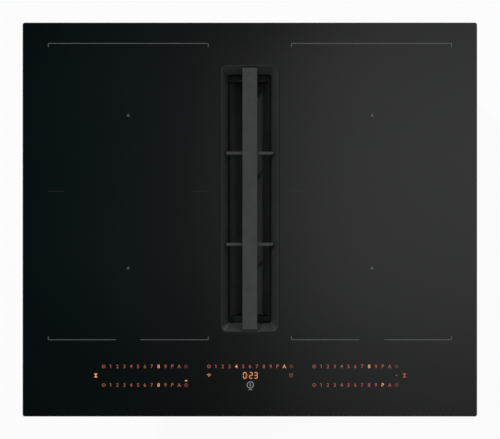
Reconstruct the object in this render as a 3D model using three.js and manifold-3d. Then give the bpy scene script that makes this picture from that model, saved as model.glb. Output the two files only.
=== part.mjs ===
// A 60 cm downdraft induction cooktop: a glass top with four coils under it, an air inlet
// down its middle, and an extractor fan in a duct housing below.
//
// Millimetres. +Z is up, +X is right and +Y is the rear; the touch controls are at the front.
// The origin lies under the middle of the glass, on the plane that the duct housing stands on.

import * as THREE from "three";
import * as BufferGeometryUtils from "three/addons/utils/BufferGeometryUtils.js";
import Module from "manifold-3d";

const wasm = await Module();
wasm.setup();

// ---------------------------------------------------------------- driving dimensions

// Clearances that several pieces share.
const seatGap = 0.3; // between a piece and what it rests on
const slideGap = 1; // round a piece that lifts out
const runningGap = 2; // round a piece that turns
const cutExtra = 5; // how far a cutting shape runs past the faces that it cuts

// Glass top.
const glassWidth = 600;
const glassDepth = 520;
const glassThickness = 4;
const glassCornerRadius = 3;
const glassBevel = 0.8;

// Worktop cut-out, how far the glass lies over its edge, and the foam seal between them.
const worktopOverlapX = 20;
const worktopOverlapY = 15;
const cutoutClearance = 2;
const sealThickness = 2;
const sealEdgeInset = 2;
const sealCutoutInset = 1;

// Sheet-steel casing.
const casingDepth = 60;
const sheetThickness = 1.2;
const casingCornerRadius = 6;
const ventWidth = 4;
const ventPitch = 11;
const ventHeight = 24;
const ventsPerSide = 12;
const boardPostRadius = 3;
const boardPostHeight = 5;

// Air inlet in the middle of the glass: a bezel that slopes down into a straight throat.
const inletFrontInset = 111.6;
const inletRearInset = 56.4;
const bezelWidth = 76.8;
const bezelCornerRadius = 9;
const bezelLand = 1;
const bezelSideSlope = 8.65;
const bezelEndSlope = 9.75;
const bezelDrop = 10;
const bezelBase = 2;
const bezelGap = 0.4;
const throatCornerRadius = 3;
const throatDepth = 12;
const throatWall = 1.5;
const ledgeWidth = 2;
const ledgeThickness = 2;

// Grille: a flat bar with two crossbars under it.
const grilleBarWidth = 20;
const grilleBarEndGap = 3.25;
const grilleBarThickness = 3.3;
const grilleBarRise = 0.3;
const grilleSlopeGap = 0.45;
const crossbarWidth = 3.8;
const crossbarHeight = 3.5;
const crossbarOffset = 60.3;

// Grease filter: a basket with a V section, and a mesh panel in each of its sloping walls.
const filterRimThickness = 1.8;
const filterDepth = 30;
const filterWall = 1.2;
const filterBottomWidth = 7.5;
const filterEndFlange = 8.6;
const filterChannelDepth = 5;
const filterTopBand = 3.5;
const filterEndPost = 8;
const filterMeshThickness = 2.4;

// Drip tray.
const trayDepth = 14;
const trayWall = 1.5;
const traySideGap = 1.5;
const trayEndGap = 6;
const trayCornerRadius = 8;

// Air duct housing.
const ductHeight = 145.4;
const ductWall = 2.5;
const lidThickness = 2.4;
const lidBridgeWidth = 130;
const plenumSideMargin = 8;
const plenumEndMargin = 8.5;
const plenumCornerRadius = 10;
const lowChannelHeight = 38;
const fanBaseCornerRadius = 22;
const fanBaseRearMargin = 22;
const neckGap = 2.75;
const neckWall = 2;
const neckFlangeWidth = 5;
const neckFlangeThickness = 2;
const casingNeckGap = 1.5;

// Extractor fan, beside the plenum and a little in front of the middle of the inlet.
const fanPlenumGap = 8.5;
const fanOffsetY = -7.6;
const impellerRadius = 80;
const impellerHeight = 82;
const impellerFloorGap = 4;
const bladeCount = 28;
const bladeLength = 15;
const bladeThickness = 1.6;
const bladeLean = 0.16;
const impellerDisc = 2.5;
const impellerCupWall = 2.5;
const eyeRadius = 62;
const tongueGap = 8;
const tongueAngle = 60;
const scrollGrowth = 30;
const motorRadius = 46;
const motorHeight = 46;
const motorShoulder = 4;
const motorClearance = 3.5;
const motorBracketThickness = 2.8;
const motorBracketMargin = 6;
const motorEarRadius = 7;
const motorEarOffset = 8;
const shaftRadius = 4;
const hubRadius = 12;

// Outlet at the rear. Its spigot ends just in front of the rear edge of the glass.
const outletRearInset = 0.7;
const outletWidth = 222;
const outletHeight = 89;
const outletLength = 34;
const outletFlange = 6;
const outletFlangeThickness = 3;
const diffuserStraight = 54;
const flapThickness = 1.6;
const flapTubeRadius = 3;
const flapPinRadius = 1.5;
const flapSeat = 3;
const flapSideGap = 1.5;

// Coils. Each side has a front and a rear one, on a plate between the inlet and the casing wall.
const coilPlateThickness = 1.5;
const coilPlateInnerGap = 7;
const coilPlateOuterGap = 6.4;
const coilPlateFrontGap = 7.5;
const coilPlateRearGap = 8;
const zoneSideMargin = 4;
const zoneFrontMargin = 9.4;
const zoneRearMargin = 0.4;
const coilFormerThickness = 5;
const coilFormerMargin = 5;
const coilEdgeMargin = 3;
const coilInnerRadius = 26;
const coilTurns = 5;
const coilStepsPerTurn = 16;
const coilTurnGap = 2.6;
const coilHeight = 5;
const micaThickness = 0.8;
const micaEndInset = 2;
const sensorRadius = 7;
const sensorStemRadius = 4;
const formerHubRadius = 18;
const formerHoleRadius = 5;

// Electronics in the casing.
const boardThickness = 1.6;
const boardWidth = 150;
const boardLength = 190;
const boardFanGap = 51;
const boardPartsOffsetX = 40;
const capacitorRadius = 11;
const capacitorHeight = 24;
const capacitorPitch = 28;
const capacitorFrontInset = 39;
const chokeWidth = 28;
const chokeLength = 24;
const chokeHeight = 20;
const chokePitch = 34;
const chokeOffsetY = 17;
const plugRowWidth = 40;
const plugRowLength = 12;
const plugRowHeight = 10;
const plugRowRearInset = 21;
const heatSinkOffsetX = 34;
const heatSinkWidth = 62;
const heatSinkLength = 120;
const heatSinkBase = 4;
const heatSinkHeight = 26;
const heatSinkFins = 11;
const heatSinkFinThickness = 1.8;
const coolingFanSize = 80;
const coolingFanHeight = 22;
const coolingFanBore = 37;
const coolingFanHub = 15;
const coolingFanCornerRadius = 5;
const coolingFanArmWidth = 4;
const coolingFanArmThickness = 3;
const coolingFanFrontGap = 2;
const coolingBladeCount = 7;
const coolingBladeThickness = 1.6;
const coolingBladePitch = 0.7;
const intakeSlots = 6;

// Touch control.
const touchBoardWidth = 430;
const touchBoardLength = 52;
const touchBoardFrontInset = 12;
const touchCarrierFloor = 2;
const touchCarrierDepth = 14;
const touchCarrierWall = 2;
const touchLegSize = 8;
const touchKeyHeight = 3;
const touchKeyRowWidth = 110;
const touchKeyRowLength = 7;
const touchKeyRowSideInset = 21;
const touchKeyRowEndInset = 8.5;
const displayWidth = 36;
const displayLength = 15;

// Mains terminal box under the left rear of the casing.
const terminalWidth = 96;
const terminalLength = 66;
const terminalHeight = 34;
const terminalWall = 2;
const terminalSideInset = 65;
const terminalRearInset = 40;
const terminalCoverThickness = 2;
const terminalEarThickness = 3;
const terminalPinRadius = 1.2;
const terminalPinDrop = 1.5;
const terminalTubeRadius = 2.8;
const terminalPoles = 5;
const terminalPolePitch = 9;
const terminalBlockWidth = 24;
const terminalBlockHeight = 14;
const terminalWellRadius = 2.5;
const terminalWellDepth = 6;
const glandRadius = 11;
const glandBore = 5;
const glandLength = 18;
const glandCollarRadius = 12;
const glandCollarLength = 4;
const glandDrop = 2;

// Side springs that grip the cut-out.
const springThickness = 0.8;
const springBulge = 2.4;
const springWidth = 30;
const springHeight = 38;
const springTopInset = 7;
const springOffsetY = 150;

// ---------------------------------------------------------------- heights, floor to glass

const lowPlateZ = lowChannelHeight;
const lidUnderZ = ductHeight - lidThickness;
const ductWallTopZ = lidUnderZ - seatGap;
const casingUnderZ = ductHeight + seatGap;
const casingFloorZ = casingUnderZ + sheetThickness;
const casingTopZ = casingUnderZ + casingDepth;
const glassUnderZ = casingTopZ + seatGap;
const glassTopZ = glassUnderZ + glassThickness;

const slopeBottomZ = glassTopZ - bezelDrop;
const bezelUnderZ = slopeBottomZ - bezelBase;
const skirtBottomZ = slopeBottomZ - throatDepth;
const ledgeTopZ = skirtBottomZ + ledgeThickness;
const neckFlangeTopZ = bezelUnderZ - seatGap;

const filterRimUnderZ = ledgeTopZ + seatGap;
const filterRimTopZ = filterRimUnderZ + filterRimThickness;
const filterBottomZ = filterRimUnderZ - filterDepth;

const micaTopZ = glassUnderZ - seatGap;
const micaUnderZ = micaTopZ - micaThickness;
const coilTopZ = micaUnderZ - seatGap;
const coilUnderZ = coilTopZ - coilHeight;
const formerTopZ = coilUnderZ - seatGap;
const formerUnderZ = formerTopZ - coilFormerThickness;
const coilPlateTopZ = formerUnderZ - seatGap;
const coilPlateUnderZ = coilPlateTopZ - coilPlateThickness;

const boardUnderZ = casingFloorZ + boardPostHeight + seatGap;
const boardTopZ = boardUnderZ + boardThickness;

// ---------------------------------------------------------------- half sizes in plan

const glassHalfX = glassWidth / 2;
const glassHalfY = glassDepth / 2;
const cutoutHalfX = glassHalfX - worktopOverlapX;
const cutoutHalfY = glassHalfY - worktopOverlapY;
const casingHalfX = cutoutHalfX - cutoutClearance;
const casingHalfY = cutoutHalfY - cutoutClearance;
const casingInnerHalfX = casingHalfX - sheetThickness;
const casingInnerHalfY = casingHalfY - sheetThickness;

const inletCentreY = (inletFrontInset - inletRearInset) / 2;
const bezelHalfX = bezelWidth / 2;
const bezelHalfY = glassHalfY - (inletFrontInset + inletRearInset) / 2;
const throatHalfX = bezelHalfX - bezelLand - bezelSideSlope;
const throatHalfY = bezelHalfY - bezelLand - bezelEndSlope;
const ledgeHalfX = throatHalfX - ledgeWidth;
const ledgeHalfY = throatHalfY - ledgeWidth;
const neckHalfX = throatHalfX + throatWall + neckGap;
const neckHalfY = throatHalfY + throatWall + neckGap;
const flangeHalfX = bezelHalfX + neckFlangeWidth;
const flangeHalfY = bezelHalfY + neckFlangeWidth;
const plenumHalfX = neckHalfX + neckWall + plenumSideMargin;
const plenumHalfY = neckHalfY + neckWall + plenumEndMargin;

const touchHalfX = touchBoardWidth / 2;
const touchFrontY = -casingInnerHalfY + touchBoardFrontInset;
const touchRearY = touchFrontY + touchBoardLength;

const coilPlateInnerX = flangeHalfX + coilPlateInnerGap;
const coilPlateOuterX = casingInnerHalfX - coilPlateOuterGap;
const coilPlateHalfX = (coilPlateOuterX - coilPlateInnerX) / 2;
const coilPlateFrontY = touchRearY + touchCarrierWall + seatGap + coilPlateFrontGap;
const coilPlateRearY = casingInnerHalfY - coilPlateRearGap;
const zoneOffsetX = (coilPlateOuterX + coilPlateInnerX) / 2;
const zoneHalfX = coilPlateHalfX - zoneSideMargin;
const zoneFrontY = coilPlateFrontY + zoneFrontMargin;
const zoneRearY = coilPlateRearY - zoneRearMargin;
const zoneMiddleY = (zoneFrontY + zoneRearY) / 2;
const zoneHalfY = (zoneRearY - zoneFrontY) / 4;
const formerHalfX = zoneHalfX - coilFormerMargin;
const formerHalfY = zoneHalfY - coilFormerMargin;

const coolingFanHalf = coolingFanSize / 2;
const coolingFanCentreY = coilPlateFrontY + coolingFanFrontGap + coolingFanHalf;
const boardFrontY = coolingFanCentreY + coolingFanHalf + boardFanGap;
const boardRearY = boardFrontY + boardLength;
const boardCentreY = (boardFrontY + boardRearY) / 2;

// ---------------------------------------------------------------- helpers: solids

// A geometry as a solid for cutting and joining: only its positions, with shared corners merged.
function toSolid(geometry) {
  const bare = geometry.clone();
  bare.deleteAttribute("normal");
  bare.deleteAttribute("uv");
  const merged = BufferGeometryUtils.mergeVertices(bare, 1e-4);
  const mesh = new wasm.Mesh({
    numProp: 3,
    vertProperties: new Float32Array(merged.attributes.position.array),
    triVerts: new Uint32Array(merged.index.array),
  });
  return new wasm.Manifold(mesh);
}

function toGeometry(solid) {
  const mesh = solid.getMesh();
  const geometry = new THREE.BufferGeometry();
  geometry.setAttribute("position", new THREE.BufferAttribute(mesh.vertProperties, 3));
  geometry.setIndex(new THREE.BufferAttribute(mesh.triVerts, 1));
  geometry.computeVertexNormals();
  return geometry;
}

function join(...shapes) {
  return toGeometry(shapes.map(toSolid).reduce((sum, next) => sum.add(next)));
}

function cut(shape, ...tools) {
  return toGeometry(tools.map(toSolid).reduce((left, tool) => left.subtract(tool), toSolid(shape)));
}

function common(shape, tool) {
  return toGeometry(toSolid(shape).intersect(toSolid(tool)));
}

// ---------------------------------------------------------------- helpers: shapes

// A box between two x, two y and two z values.
function block(x0, x1, y0, y1, z0, z1) {
  const geometry = new THREE.BoxGeometry(x1 - x0, y1 - y0, z1 - z0);
  return geometry.translate((x0 + x1) / 2, (y0 + y1) / 2, (z0 + z1) / 2);
}

// A box of a given size about a middle in plan.
function centredBlock(x, y, width, length, z0, z1) {
  return block(x - width / 2, x + width / 2, y - length / 2, y + length / 2, z0, z1);
}

// An upright cylinder.
function rod(x, y, radius, z0, z1, sides = 16) {
  const geometry = new THREE.CylinderGeometry(radius, radius, z1 - z0, sides);
  return geometry.rotateX(Math.PI / 2).translate(x, y, (z0 + z1) / 2);
}

// A cylinder lying along X.
function rodAlongX(x0, x1, y, z, radius, sides = 12) {
  const geometry = new THREE.CylinderGeometry(radius, radius, x1 - x0, sides);
  return geometry.rotateZ(Math.PI / 2).translate((x0 + x1) / 2, y, z);
}

// A cylinder lying along Y.
function rodAlongY(y0, y1, x, z, radius, sides = 12) {
  const geometry = new THREE.CylinderGeometry(radius, radius, y1 - y0, sides);
  return geometry.translate(x, (y0 + y1) / 2, z);
}

// A rectangle with round corners, as a closed outline seen from above.
function roundedRectangle(x0, x1, y0, y1, radius) {
  const shape = new THREE.Shape();
  shape.moveTo(x0 + radius, y0);
  shape.lineTo(x1 - radius, y0);
  shape.absarc(x1 - radius, y0 + radius, radius, -Math.PI / 2, 0);
  shape.lineTo(x1, y1 - radius);
  shape.absarc(x1 - radius, y1 - radius, radius, 0, Math.PI / 2);
  shape.lineTo(x0 + radius, y1);
  shape.absarc(x0 + radius, y1 - radius, radius, Math.PI / 2, Math.PI);
  shape.lineTo(x0, y0 + radius);
  shape.absarc(x0 + radius, y0 + radius, radius, Math.PI, Math.PI * 1.5);
  return shape;
}

// The same about a middle, from its half sizes.
function centredRectangle(x, y, halfX, halfY, radius) {
  return roundedRectangle(x - halfX, x + halfX, y - halfY, y + halfY, radius);
}

// An outline through plain points.
function outline(points) {
  return new THREE.Shape(points.map(([x, y]) => new THREE.Vector2(x, y)));
}

// An outline drawn up between two heights.
function slab(shape, z0, z1, curveSegments = 2) {
  const settings = { depth: z1 - z0, bevelEnabled: false, curveSegments };
  return new THREE.ExtrudeGeometry(shape, settings).translate(0, 0, z0);
}

// An outline in Y and Z drawn along X.
function slabAlongX(shape, x0, x1) {
  const turn = new THREE.Matrix4().makeBasis(
    new THREE.Vector3(0, 1, 0), new THREE.Vector3(0, 0, 1), new THREE.Vector3(1, 0, 0));
  const settings = { depth: x1 - x0, bevelEnabled: false, curveSegments: 4 };
  return new THREE.ExtrudeGeometry(shape, settings).applyMatrix4(turn).translate(x0, 0, 0);
}

// An outline in X and Z drawn along Y.
function slabAlongY(shape, y0, y1) {
  const turn = new THREE.Matrix4().makeBasis(
    new THREE.Vector3(1, 0, 0), new THREE.Vector3(0, 0, 1), new THREE.Vector3(0, -1, 0));
  const settings = { depth: y1 - y0, bevelEnabled: false, curveSegments: 4 };
  return new THREE.ExtrudeGeometry(shape, settings).applyMatrix4(turn).translate(0, y1, 0);
}

// A ring between two outlines, drawn up between two heights.
function ringSlab(outer, inner, z0, z1) {
  const shape = outer.clone();
  shape.holes.push(inner);
  return slab(shape, z0, z1);
}

// The corners of a rectangle in plan at one height, with round corners where it has a radius.
function levelRing(y, halfX, halfY, radius, z) {
  if (radius === 0) {
    return [[-halfX, -halfY], [halfX, -halfY], [halfX, halfY], [-halfX, halfY]]
      .map(([dx, dy]) => new THREE.Vector3(dx, y + dy, z));
  }
  const points = centredRectangle(0, y, halfX, halfY, radius).getPoints(2);
  points.pop();
  return points.map((point) => new THREE.Vector3(point.x, point.y, z));
}

// A closed solid through level rings of equal count, from the lowest to the highest.
function loft(rings) {
  const count = rings[0].length;
  const positions = rings.flat().flatMap((point) => [point.x, point.y, point.z]);
  const faces = [];
  for (let level = 0; level + 1 < rings.length; level += 1) {
    for (let i = 0; i < count; i += 1) {
      const here = level * count + i;
      const next = level * count + ((i + 1) % count);
      faces.push(here, next, next + count, here, next + count, here + count);
    }
  }
  const flat = rings[0].map((point) => new THREE.Vector2(point.x, point.y));
  const top = (rings.length - 1) * count;
  for (const [a, b, c] of THREE.ShapeUtils.triangulateShape(flat, [])) {
    faces.push(a, c, b, top + a, top + b, top + c);
  }
  const geometry = new THREE.BufferGeometry();
  geometry.setAttribute("position", new THREE.Float32BufferAttribute(positions, 3));
  geometry.setIndex(faces);
  return geometry;
}

// A turned piece about an upright axis, from a closed profile of radius and height.
function turned(x, y, profile, sides = 32) {
  const points = profile.map(([radius, z]) => new THREE.Vector2(radius, z));
  return new THREE.LatheGeometry(points, sides).rotateX(Math.PI / 2).translate(x, y, 0);
}

// Moves each side of a closed outline outwards, keeping the corners sharp.
function grown(points, distance) {
  return points.map(([x, y], i) => {
    const [beforeX, beforeY] = points[(i + points.length - 1) % points.length];
    const [afterX, afterY] = points[(i + 1) % points.length];
    const inward = new THREE.Vector2(x - beforeX, y - beforeY).normalize();
    const onward = new THREE.Vector2(afterX - x, afterY - y).normalize();
    const normalIn = new THREE.Vector2(inward.y, -inward.x);
    const normalOn = new THREE.Vector2(onward.y, -onward.x);
    const corner = normalIn.clone().add(normalOn);
    const reach = distance / (0.5 * corner.lengthSq());
    return [x + corner.x * reach, y + corner.y * reach];
  });
}

// ---------------------------------------------------------------- the scene graph

const finishes = {
  blackGlass: { color: 0x1d1f1f, roughness: 0.08, metalness: 0 },
  foam: { color: 0x35363a, roughness: 0.95, metalness: 0 },
  darkMetal: { color: 0x3f4042, roughness: 0.35, metalness: 0.6 },
  sheetSteel: { color: 0xa9adb0, roughness: 0.4, metalness: 0.9 },
  aluminium: { color: 0xc4c7c9, roughness: 0.35, metalness: 0.9 },
  blackPlastic: { color: 0x1f2022, roughness: 0.55, metalness: 0 },
  greyPlastic: { color: 0x8b8e90, roughness: 0.55, metalness: 0 },
  copper: { color: 0xb56a3c, roughness: 0.4, metalness: 0.8 },
  mica: { color: 0xcfc8b4, roughness: 0.6, metalness: 0 },
  board: { color: 0x1f5c3a, roughness: 0.5, metalness: 0 },
  stainless: { color: 0x8f9395, roughness: 0.3, metalness: 0.9 },
};

const cooktop = new THREE.Group();

function add(name, geometry, finish) {
  const mesh = new THREE.Mesh(geometry, new THREE.MeshStandardMaterial(finishes[finish]));
  mesh.name = name;
  cooktop.add(mesh);
}

const sides = [["left", -1], ["right", 1]];
const rows = [["front", -1], ["rear", 1]];

// ---------------------------------------------------------------- glass, seals and bezel

function glassPlate() {
  const topRadius = glassCornerRadius - glassBevel / 2;
  const plate = loft([
    levelRing(0, glassHalfX, glassHalfY, glassCornerRadius, glassUnderZ),
    levelRing(0, glassHalfX, glassHalfY, glassCornerRadius, glassTopZ - glassBevel),
    levelRing(0, glassHalfX - glassBevel, glassHalfY - glassBevel, topRadius, glassTopZ),
  ]);
  const holeRadius = bezelCornerRadius + bezelGap;
  const hole = centredRectangle(
    0, inletCentreY, bezelHalfX + bezelGap, bezelHalfY + bezelGap, holeRadius);
  return cut(plate, slab(hole, glassUnderZ - cutExtra, glassTopZ + cutExtra, 4));
}

function worktopSeal() {
  const outer = centredRectangle(
    0, 0, glassHalfX - sealEdgeInset, glassHalfY - sealEdgeInset, glassCornerRadius);
  const inner = centredRectangle(
    0, 0, cutoutHalfX + sealCutoutInset, cutoutHalfY + sealCutoutInset, glassCornerRadius);
  const topZ = glassUnderZ - seatGap;
  return ringSlab(outer, inner, topZ - sealThickness, topZ);
}

// How far from the middle the bezel's slope is at a height, between the throat and the rim.
function slopeReach(throatHalf, bezelHalf, z) {
  const rise = (z - slopeBottomZ) / bezelDrop;
  return throatHalf + (bezelHalf - bezelLand - throatHalf) * rise;
}

function inletBezel() {
  const rim = centredRectangle(0, inletCentreY, bezelHalfX, bezelHalfY, bezelCornerRadius);
  const skirt = centredRectangle(
    0, inletCentreY, throatHalfX + throatWall, throatHalfY + throatWall,
    throatCornerRadius + throatWall);
  const body = join(
    slab(rim, bezelUnderZ, glassTopZ, 4),
    slab(skirt, skirtBottomZ, bezelUnderZ + bezelBase / 2));
  const mouthZ = glassTopZ + bezelLand;
  const funnel = loft([
    levelRing(inletCentreY, throatHalfX, throatHalfY, throatCornerRadius, slopeBottomZ),
    levelRing(
      inletCentreY,
      slopeReach(throatHalfX, bezelHalfX, mouthZ),
      slopeReach(throatHalfY, bezelHalfY, mouthZ),
      bezelCornerRadius - bezelLand,
      mouthZ),
  ]);
  const throat = centredRectangle(
    0, inletCentreY, throatHalfX, throatHalfY, throatCornerRadius);
  const ledge = centredRectangle(0, inletCentreY, ledgeHalfX, ledgeHalfY, throatCornerRadius);
  return cut(
    body,
    funnel,
    slab(throat, ledgeTopZ, slopeBottomZ + bezelBase / 2),
    slab(ledge, skirtBottomZ - cutExtra, ledgeTopZ + ledgeThickness / 2));
}

function bezelSeal() {
  const outer = centredRectangle(0, inletCentreY, flangeHalfX, flangeHalfY, bezelCornerRadius);
  const inner = centredRectangle(
    0, inletCentreY, bezelHalfX + bezelGap, bezelHalfY + bezelGap, bezelCornerRadius);
  return ringSlab(outer, inner, neckFlangeTopZ + seatGap, glassUnderZ - seatGap);
}

add("glass_plate", glassPlate(), "blackGlass");
add("worktop_seal", worktopSeal(), "foam");
add("inlet_bezel", inletBezel(), "darkMetal");
add("bezel_seal", bezelSeal(), "foam");

// ---------------------------------------------------------------- grille

const barTopZ = glassTopZ + grilleBarRise;
const barUnderZ = barTopZ - grilleBarThickness;

// Its ends are chamfered below, so that they lie along the slope of the bezel.
function grilleBar() {
  const end = bezelHalfY - grilleBarEndGap;
  const underEnd = slopeReach(throatHalfY, bezelHalfY, barUnderZ) - grilleSlopeGap;
  const chamfer = end - underEnd;
  const profile = outline([
    [inletCentreY - underEnd, barUnderZ],
    [inletCentreY + underEnd, barUnderZ],
    [inletCentreY + end, barUnderZ + chamfer],
    [inletCentreY + end, barTopZ],
    [inletCentreY - end, barTopZ],
    [inletCentreY - end, barUnderZ + chamfer],
  ]);
  return slabAlongX(profile, -grilleBarWidth / 2, grilleBarWidth / 2);
}

function grilleCrossbar(row) {
  const underZ = barUnderZ - crossbarHeight;
  const reach = slopeReach(throatHalfX, bezelHalfX, underZ) - grilleSlopeGap;
  const y = inletCentreY + row * crossbarOffset;
  return centredBlock(0, y, reach * 2, crossbarWidth, underZ, barUnderZ);
}

add("grille_bar", grilleBar(), "darkMetal");
for (const [rowName, row] of rows) {
  add(`grille_crossbar_${rowName}`, grilleCrossbar(row), "darkMetal");
}

// ---------------------------------------------------------------- grease filter

const filterTopHalfX = ledgeHalfX - slideGap;
const filterBottomHalfX = filterBottomWidth / 2;
const filterEndHalfY = throatHalfY - filterEndFlange + filterWall;
const filterRimHalfX = throatHalfX - slideGap;
const filterRimHalfY = throatHalfY - slideGap;
const filterWindowUnderZ = filterBottomZ + filterChannelDepth;
const filterWindowTopZ = filterRimUnderZ - filterTopBand;
const filterWindowHalfY = filterEndHalfY - filterEndPost;

// How far the filter's long wall is from the middle at a height.
function filterReach(z) {
  const rise = (z - filterBottomZ) / filterDepth;
  return filterBottomHalfX + (filterTopHalfX - filterBottomHalfX) * rise;
}

function filterFrame() {
  const basket = loft([
    levelRing(inletCentreY, filterBottomHalfX, filterEndHalfY, 0, filterBottomZ),
    levelRing(inletCentreY, filterTopHalfX, filterEndHalfY, 0, filterRimUnderZ),
  ]);
  const rim = centredRectangle(
    0, inletCentreY, filterRimHalfX, filterRimHalfY, throatCornerRadius - slideGap);
  const insideHalfY = filterEndHalfY - filterWall;
  const insideTopHalfX = filterTopHalfX - filterWall;
  const inside = loft([
    levelRing(
      inletCentreY, filterBottomHalfX - filterWall, insideHalfY, 0, filterBottomZ + filterWall),
    levelRing(inletCentreY, insideTopHalfX, insideHalfY, 0, filterRimUnderZ),
    levelRing(inletCentreY, insideTopHalfX, insideHalfY, 0, filterRimTopZ + filterWall),
  ]);
  const windows = block(
    -filterRimHalfX, filterRimHalfX,
    inletCentreY - filterWindowHalfY, inletCentreY + filterWindowHalfY,
    filterWindowUnderZ, filterWindowTopZ);
  return cut(join(basket, slab(rim, filterRimUnderZ, filterRimTopZ)), inside, windows);
}

// A sloping panel that fills the window in one long wall.
function filterMesh(side) {
  const underZ = filterWindowUnderZ + seatGap;
  const topZ = filterWindowTopZ - seatGap;
  const profile = [
    [filterReach(underZ) - filterMeshThickness, underZ],
    [filterReach(underZ), underZ],
    [filterReach(topZ), topZ],
    [filterReach(topZ) - filterMeshThickness, topZ],
  ].map(([x, z]) => [x * side, z]);
  const shape = outline(side > 0 ? profile : profile.reverse());
  const half = filterWindowHalfY - seatGap;
  return slabAlongY(shape, inletCentreY - half, inletCentreY + half);
}

add("filter_frame", filterFrame(), "darkMetal");
for (const [sideName, side] of sides) {
  add(`filter_mesh_${sideName}`, filterMesh(side), "stainless");
}

// ---------------------------------------------------------------- drip tray

function dripTray() {
  const halfX = ledgeHalfX - traySideGap;
  const halfY = ledgeHalfY - trayEndGap;
  const underZ = ductWall + seatGap;
  const outer = centredRectangle(0, inletCentreY, halfX, halfY, trayCornerRadius);
  const inner = centredRectangle(
    0, inletCentreY, halfX - trayWall, halfY - trayWall, trayCornerRadius - trayWall);
  return cut(
    slab(outer, underZ, underZ + trayDepth),
    slab(inner, underZ + trayWall, underZ + trayDepth + cutExtra));
}

add("drip_tray", dripTray(), "stainless");

// ---------------------------------------------------------------- fan housing

// Directions from the middle of the fan, in degrees. Right is a whole turn, past the tongue.
const rearward = 90;
const leftward = 180;
const frontward = 270;
const rightward = 360;

// The scroll's radius at an angle in degrees, which grows from the tongue right round to it.
function scrollRadius(degrees) {
  return impellerRadius + tongueGap + scrollGrowth * (degrees - tongueAngle) / 360;
}

const fanCentreX = plenumHalfX + fanPlenumGap + ductWall + scrollRadius(leftward);
const fanCentreY = inletCentreY + fanOffsetY;

function polarPoint(radius, degrees) {
  const angle = THREE.MathUtils.degToRad(degrees);
  return [fanCentreX + radius * Math.cos(angle), fanCentreY + radius * Math.sin(angle)];
}

const outletInnerWidth = outletWidth - ductWall * 2;
const outletRightX = fanCentreX + scrollRadius(rightward);
const outletLeftX = outletRightX - outletInnerWidth;
const outletMiddleX = (outletRightX + outletLeftX) / 2;
const collarEndY = glassHalfY - outletRearInset;
const collarSpigotY = collarEndY - outletLength;
const collarFlangeY = collarSpigotY - outletFlangeThickness;
const outletEndY = collarFlangeY - seatGap;

// The spiral part of the scroll, grown outwards by a wall.
function scrollOutline(wall) {
  const points = [];
  const step = 15;
  for (let degrees = tongueAngle; degrees <= tongueAngle + 360; degrees += step) {
    points.push(polarPoint(scrollRadius(degrees) + wall, degrees));
  }
  return outline(points);
}

// The way from the scroll to the outlet, grown outwards by a wall; it widens behind the impeller.
function diffuserOutline(wall, rearExtra) {
  const corners = [
    [outletRightX, fanCentreY],
    [outletRightX, outletEndY + rearExtra - wall],
    [outletLeftX, outletEndY + rearExtra - wall],
    [outletLeftX, outletEndY - diffuserStraight],
    polarPoint(scrollRadius(tongueAngle), tongueAngle),
  ];
  return outline(grown(corners, wall));
}

const fanBaseLeftX = plenumHalfX + seatGap;
const fanBaseRightX = outletRightX + ductWall;
const fanBaseFrontY = fanCentreY - scrollRadius(frontward) - ductWall;
const fanBaseRearY = fanCentreY + scrollRadius(rearward) + fanBaseRearMargin;

function fanBaseOutline(inset, leftX) {
  return roundedRectangle(
    leftX, fanBaseRightX - inset, fanBaseFrontY + inset, fanBaseRearY - inset,
    fanBaseCornerRadius - inset);
}

function plenumOutline(inset) {
  return centredRectangle(
    0, inletCentreY, plenumHalfX - inset, plenumHalfY - inset, plenumCornerRadius - inset);
}

// The lower housing: a plenum below the inlet, and a low channel from it to the fan's eye.
function airDuctTub() {
  const body = join(
    slab(plenumOutline(0), 0, ductWallTopZ),
    slab(fanBaseOutline(0, 0), 0, lowPlateZ - seatGap));
  return cut(
    body,
    slab(plenumOutline(ductWall), ductWall, ductWallTopZ + cutExtra),
    slab(fanBaseOutline(ductWall, 0), ductWall, lowPlateZ - seatGap),
    block(
      fanBaseLeftX, fanBaseRightX - fanBaseCornerRadius,
      fanBaseFrontY + fanBaseCornerRadius, fanBaseRearY - fanBaseCornerRadius,
      ductWall, lowPlateZ + cutExtra));
}

function volute() {
  const plateTopZ = lowPlateZ + ductWall;
  const body = join(
    slab(fanBaseOutline(0, 0), lowPlateZ, plateTopZ),
    slab(diffuserOutline(ductWall, 0), lowPlateZ, ductWallTopZ),
    slab(scrollOutline(ductWall), lowPlateZ, ductWallTopZ));
  return cut(
    body,
    slab(scrollOutline(0), plateTopZ, ductWallTopZ + cutExtra),
    slab(diffuserOutline(0, cutExtra), plateTopZ, ductWallTopZ + cutExtra),
    rod(fanCentreX, fanCentreY, eyeRadius, lowPlateZ - cutExtra, plateTopZ + cutExtra, 32),
    block(-plenumHalfX, fanBaseLeftX, -glassDepth, glassDepth, 0, ductHeight));
}

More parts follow.
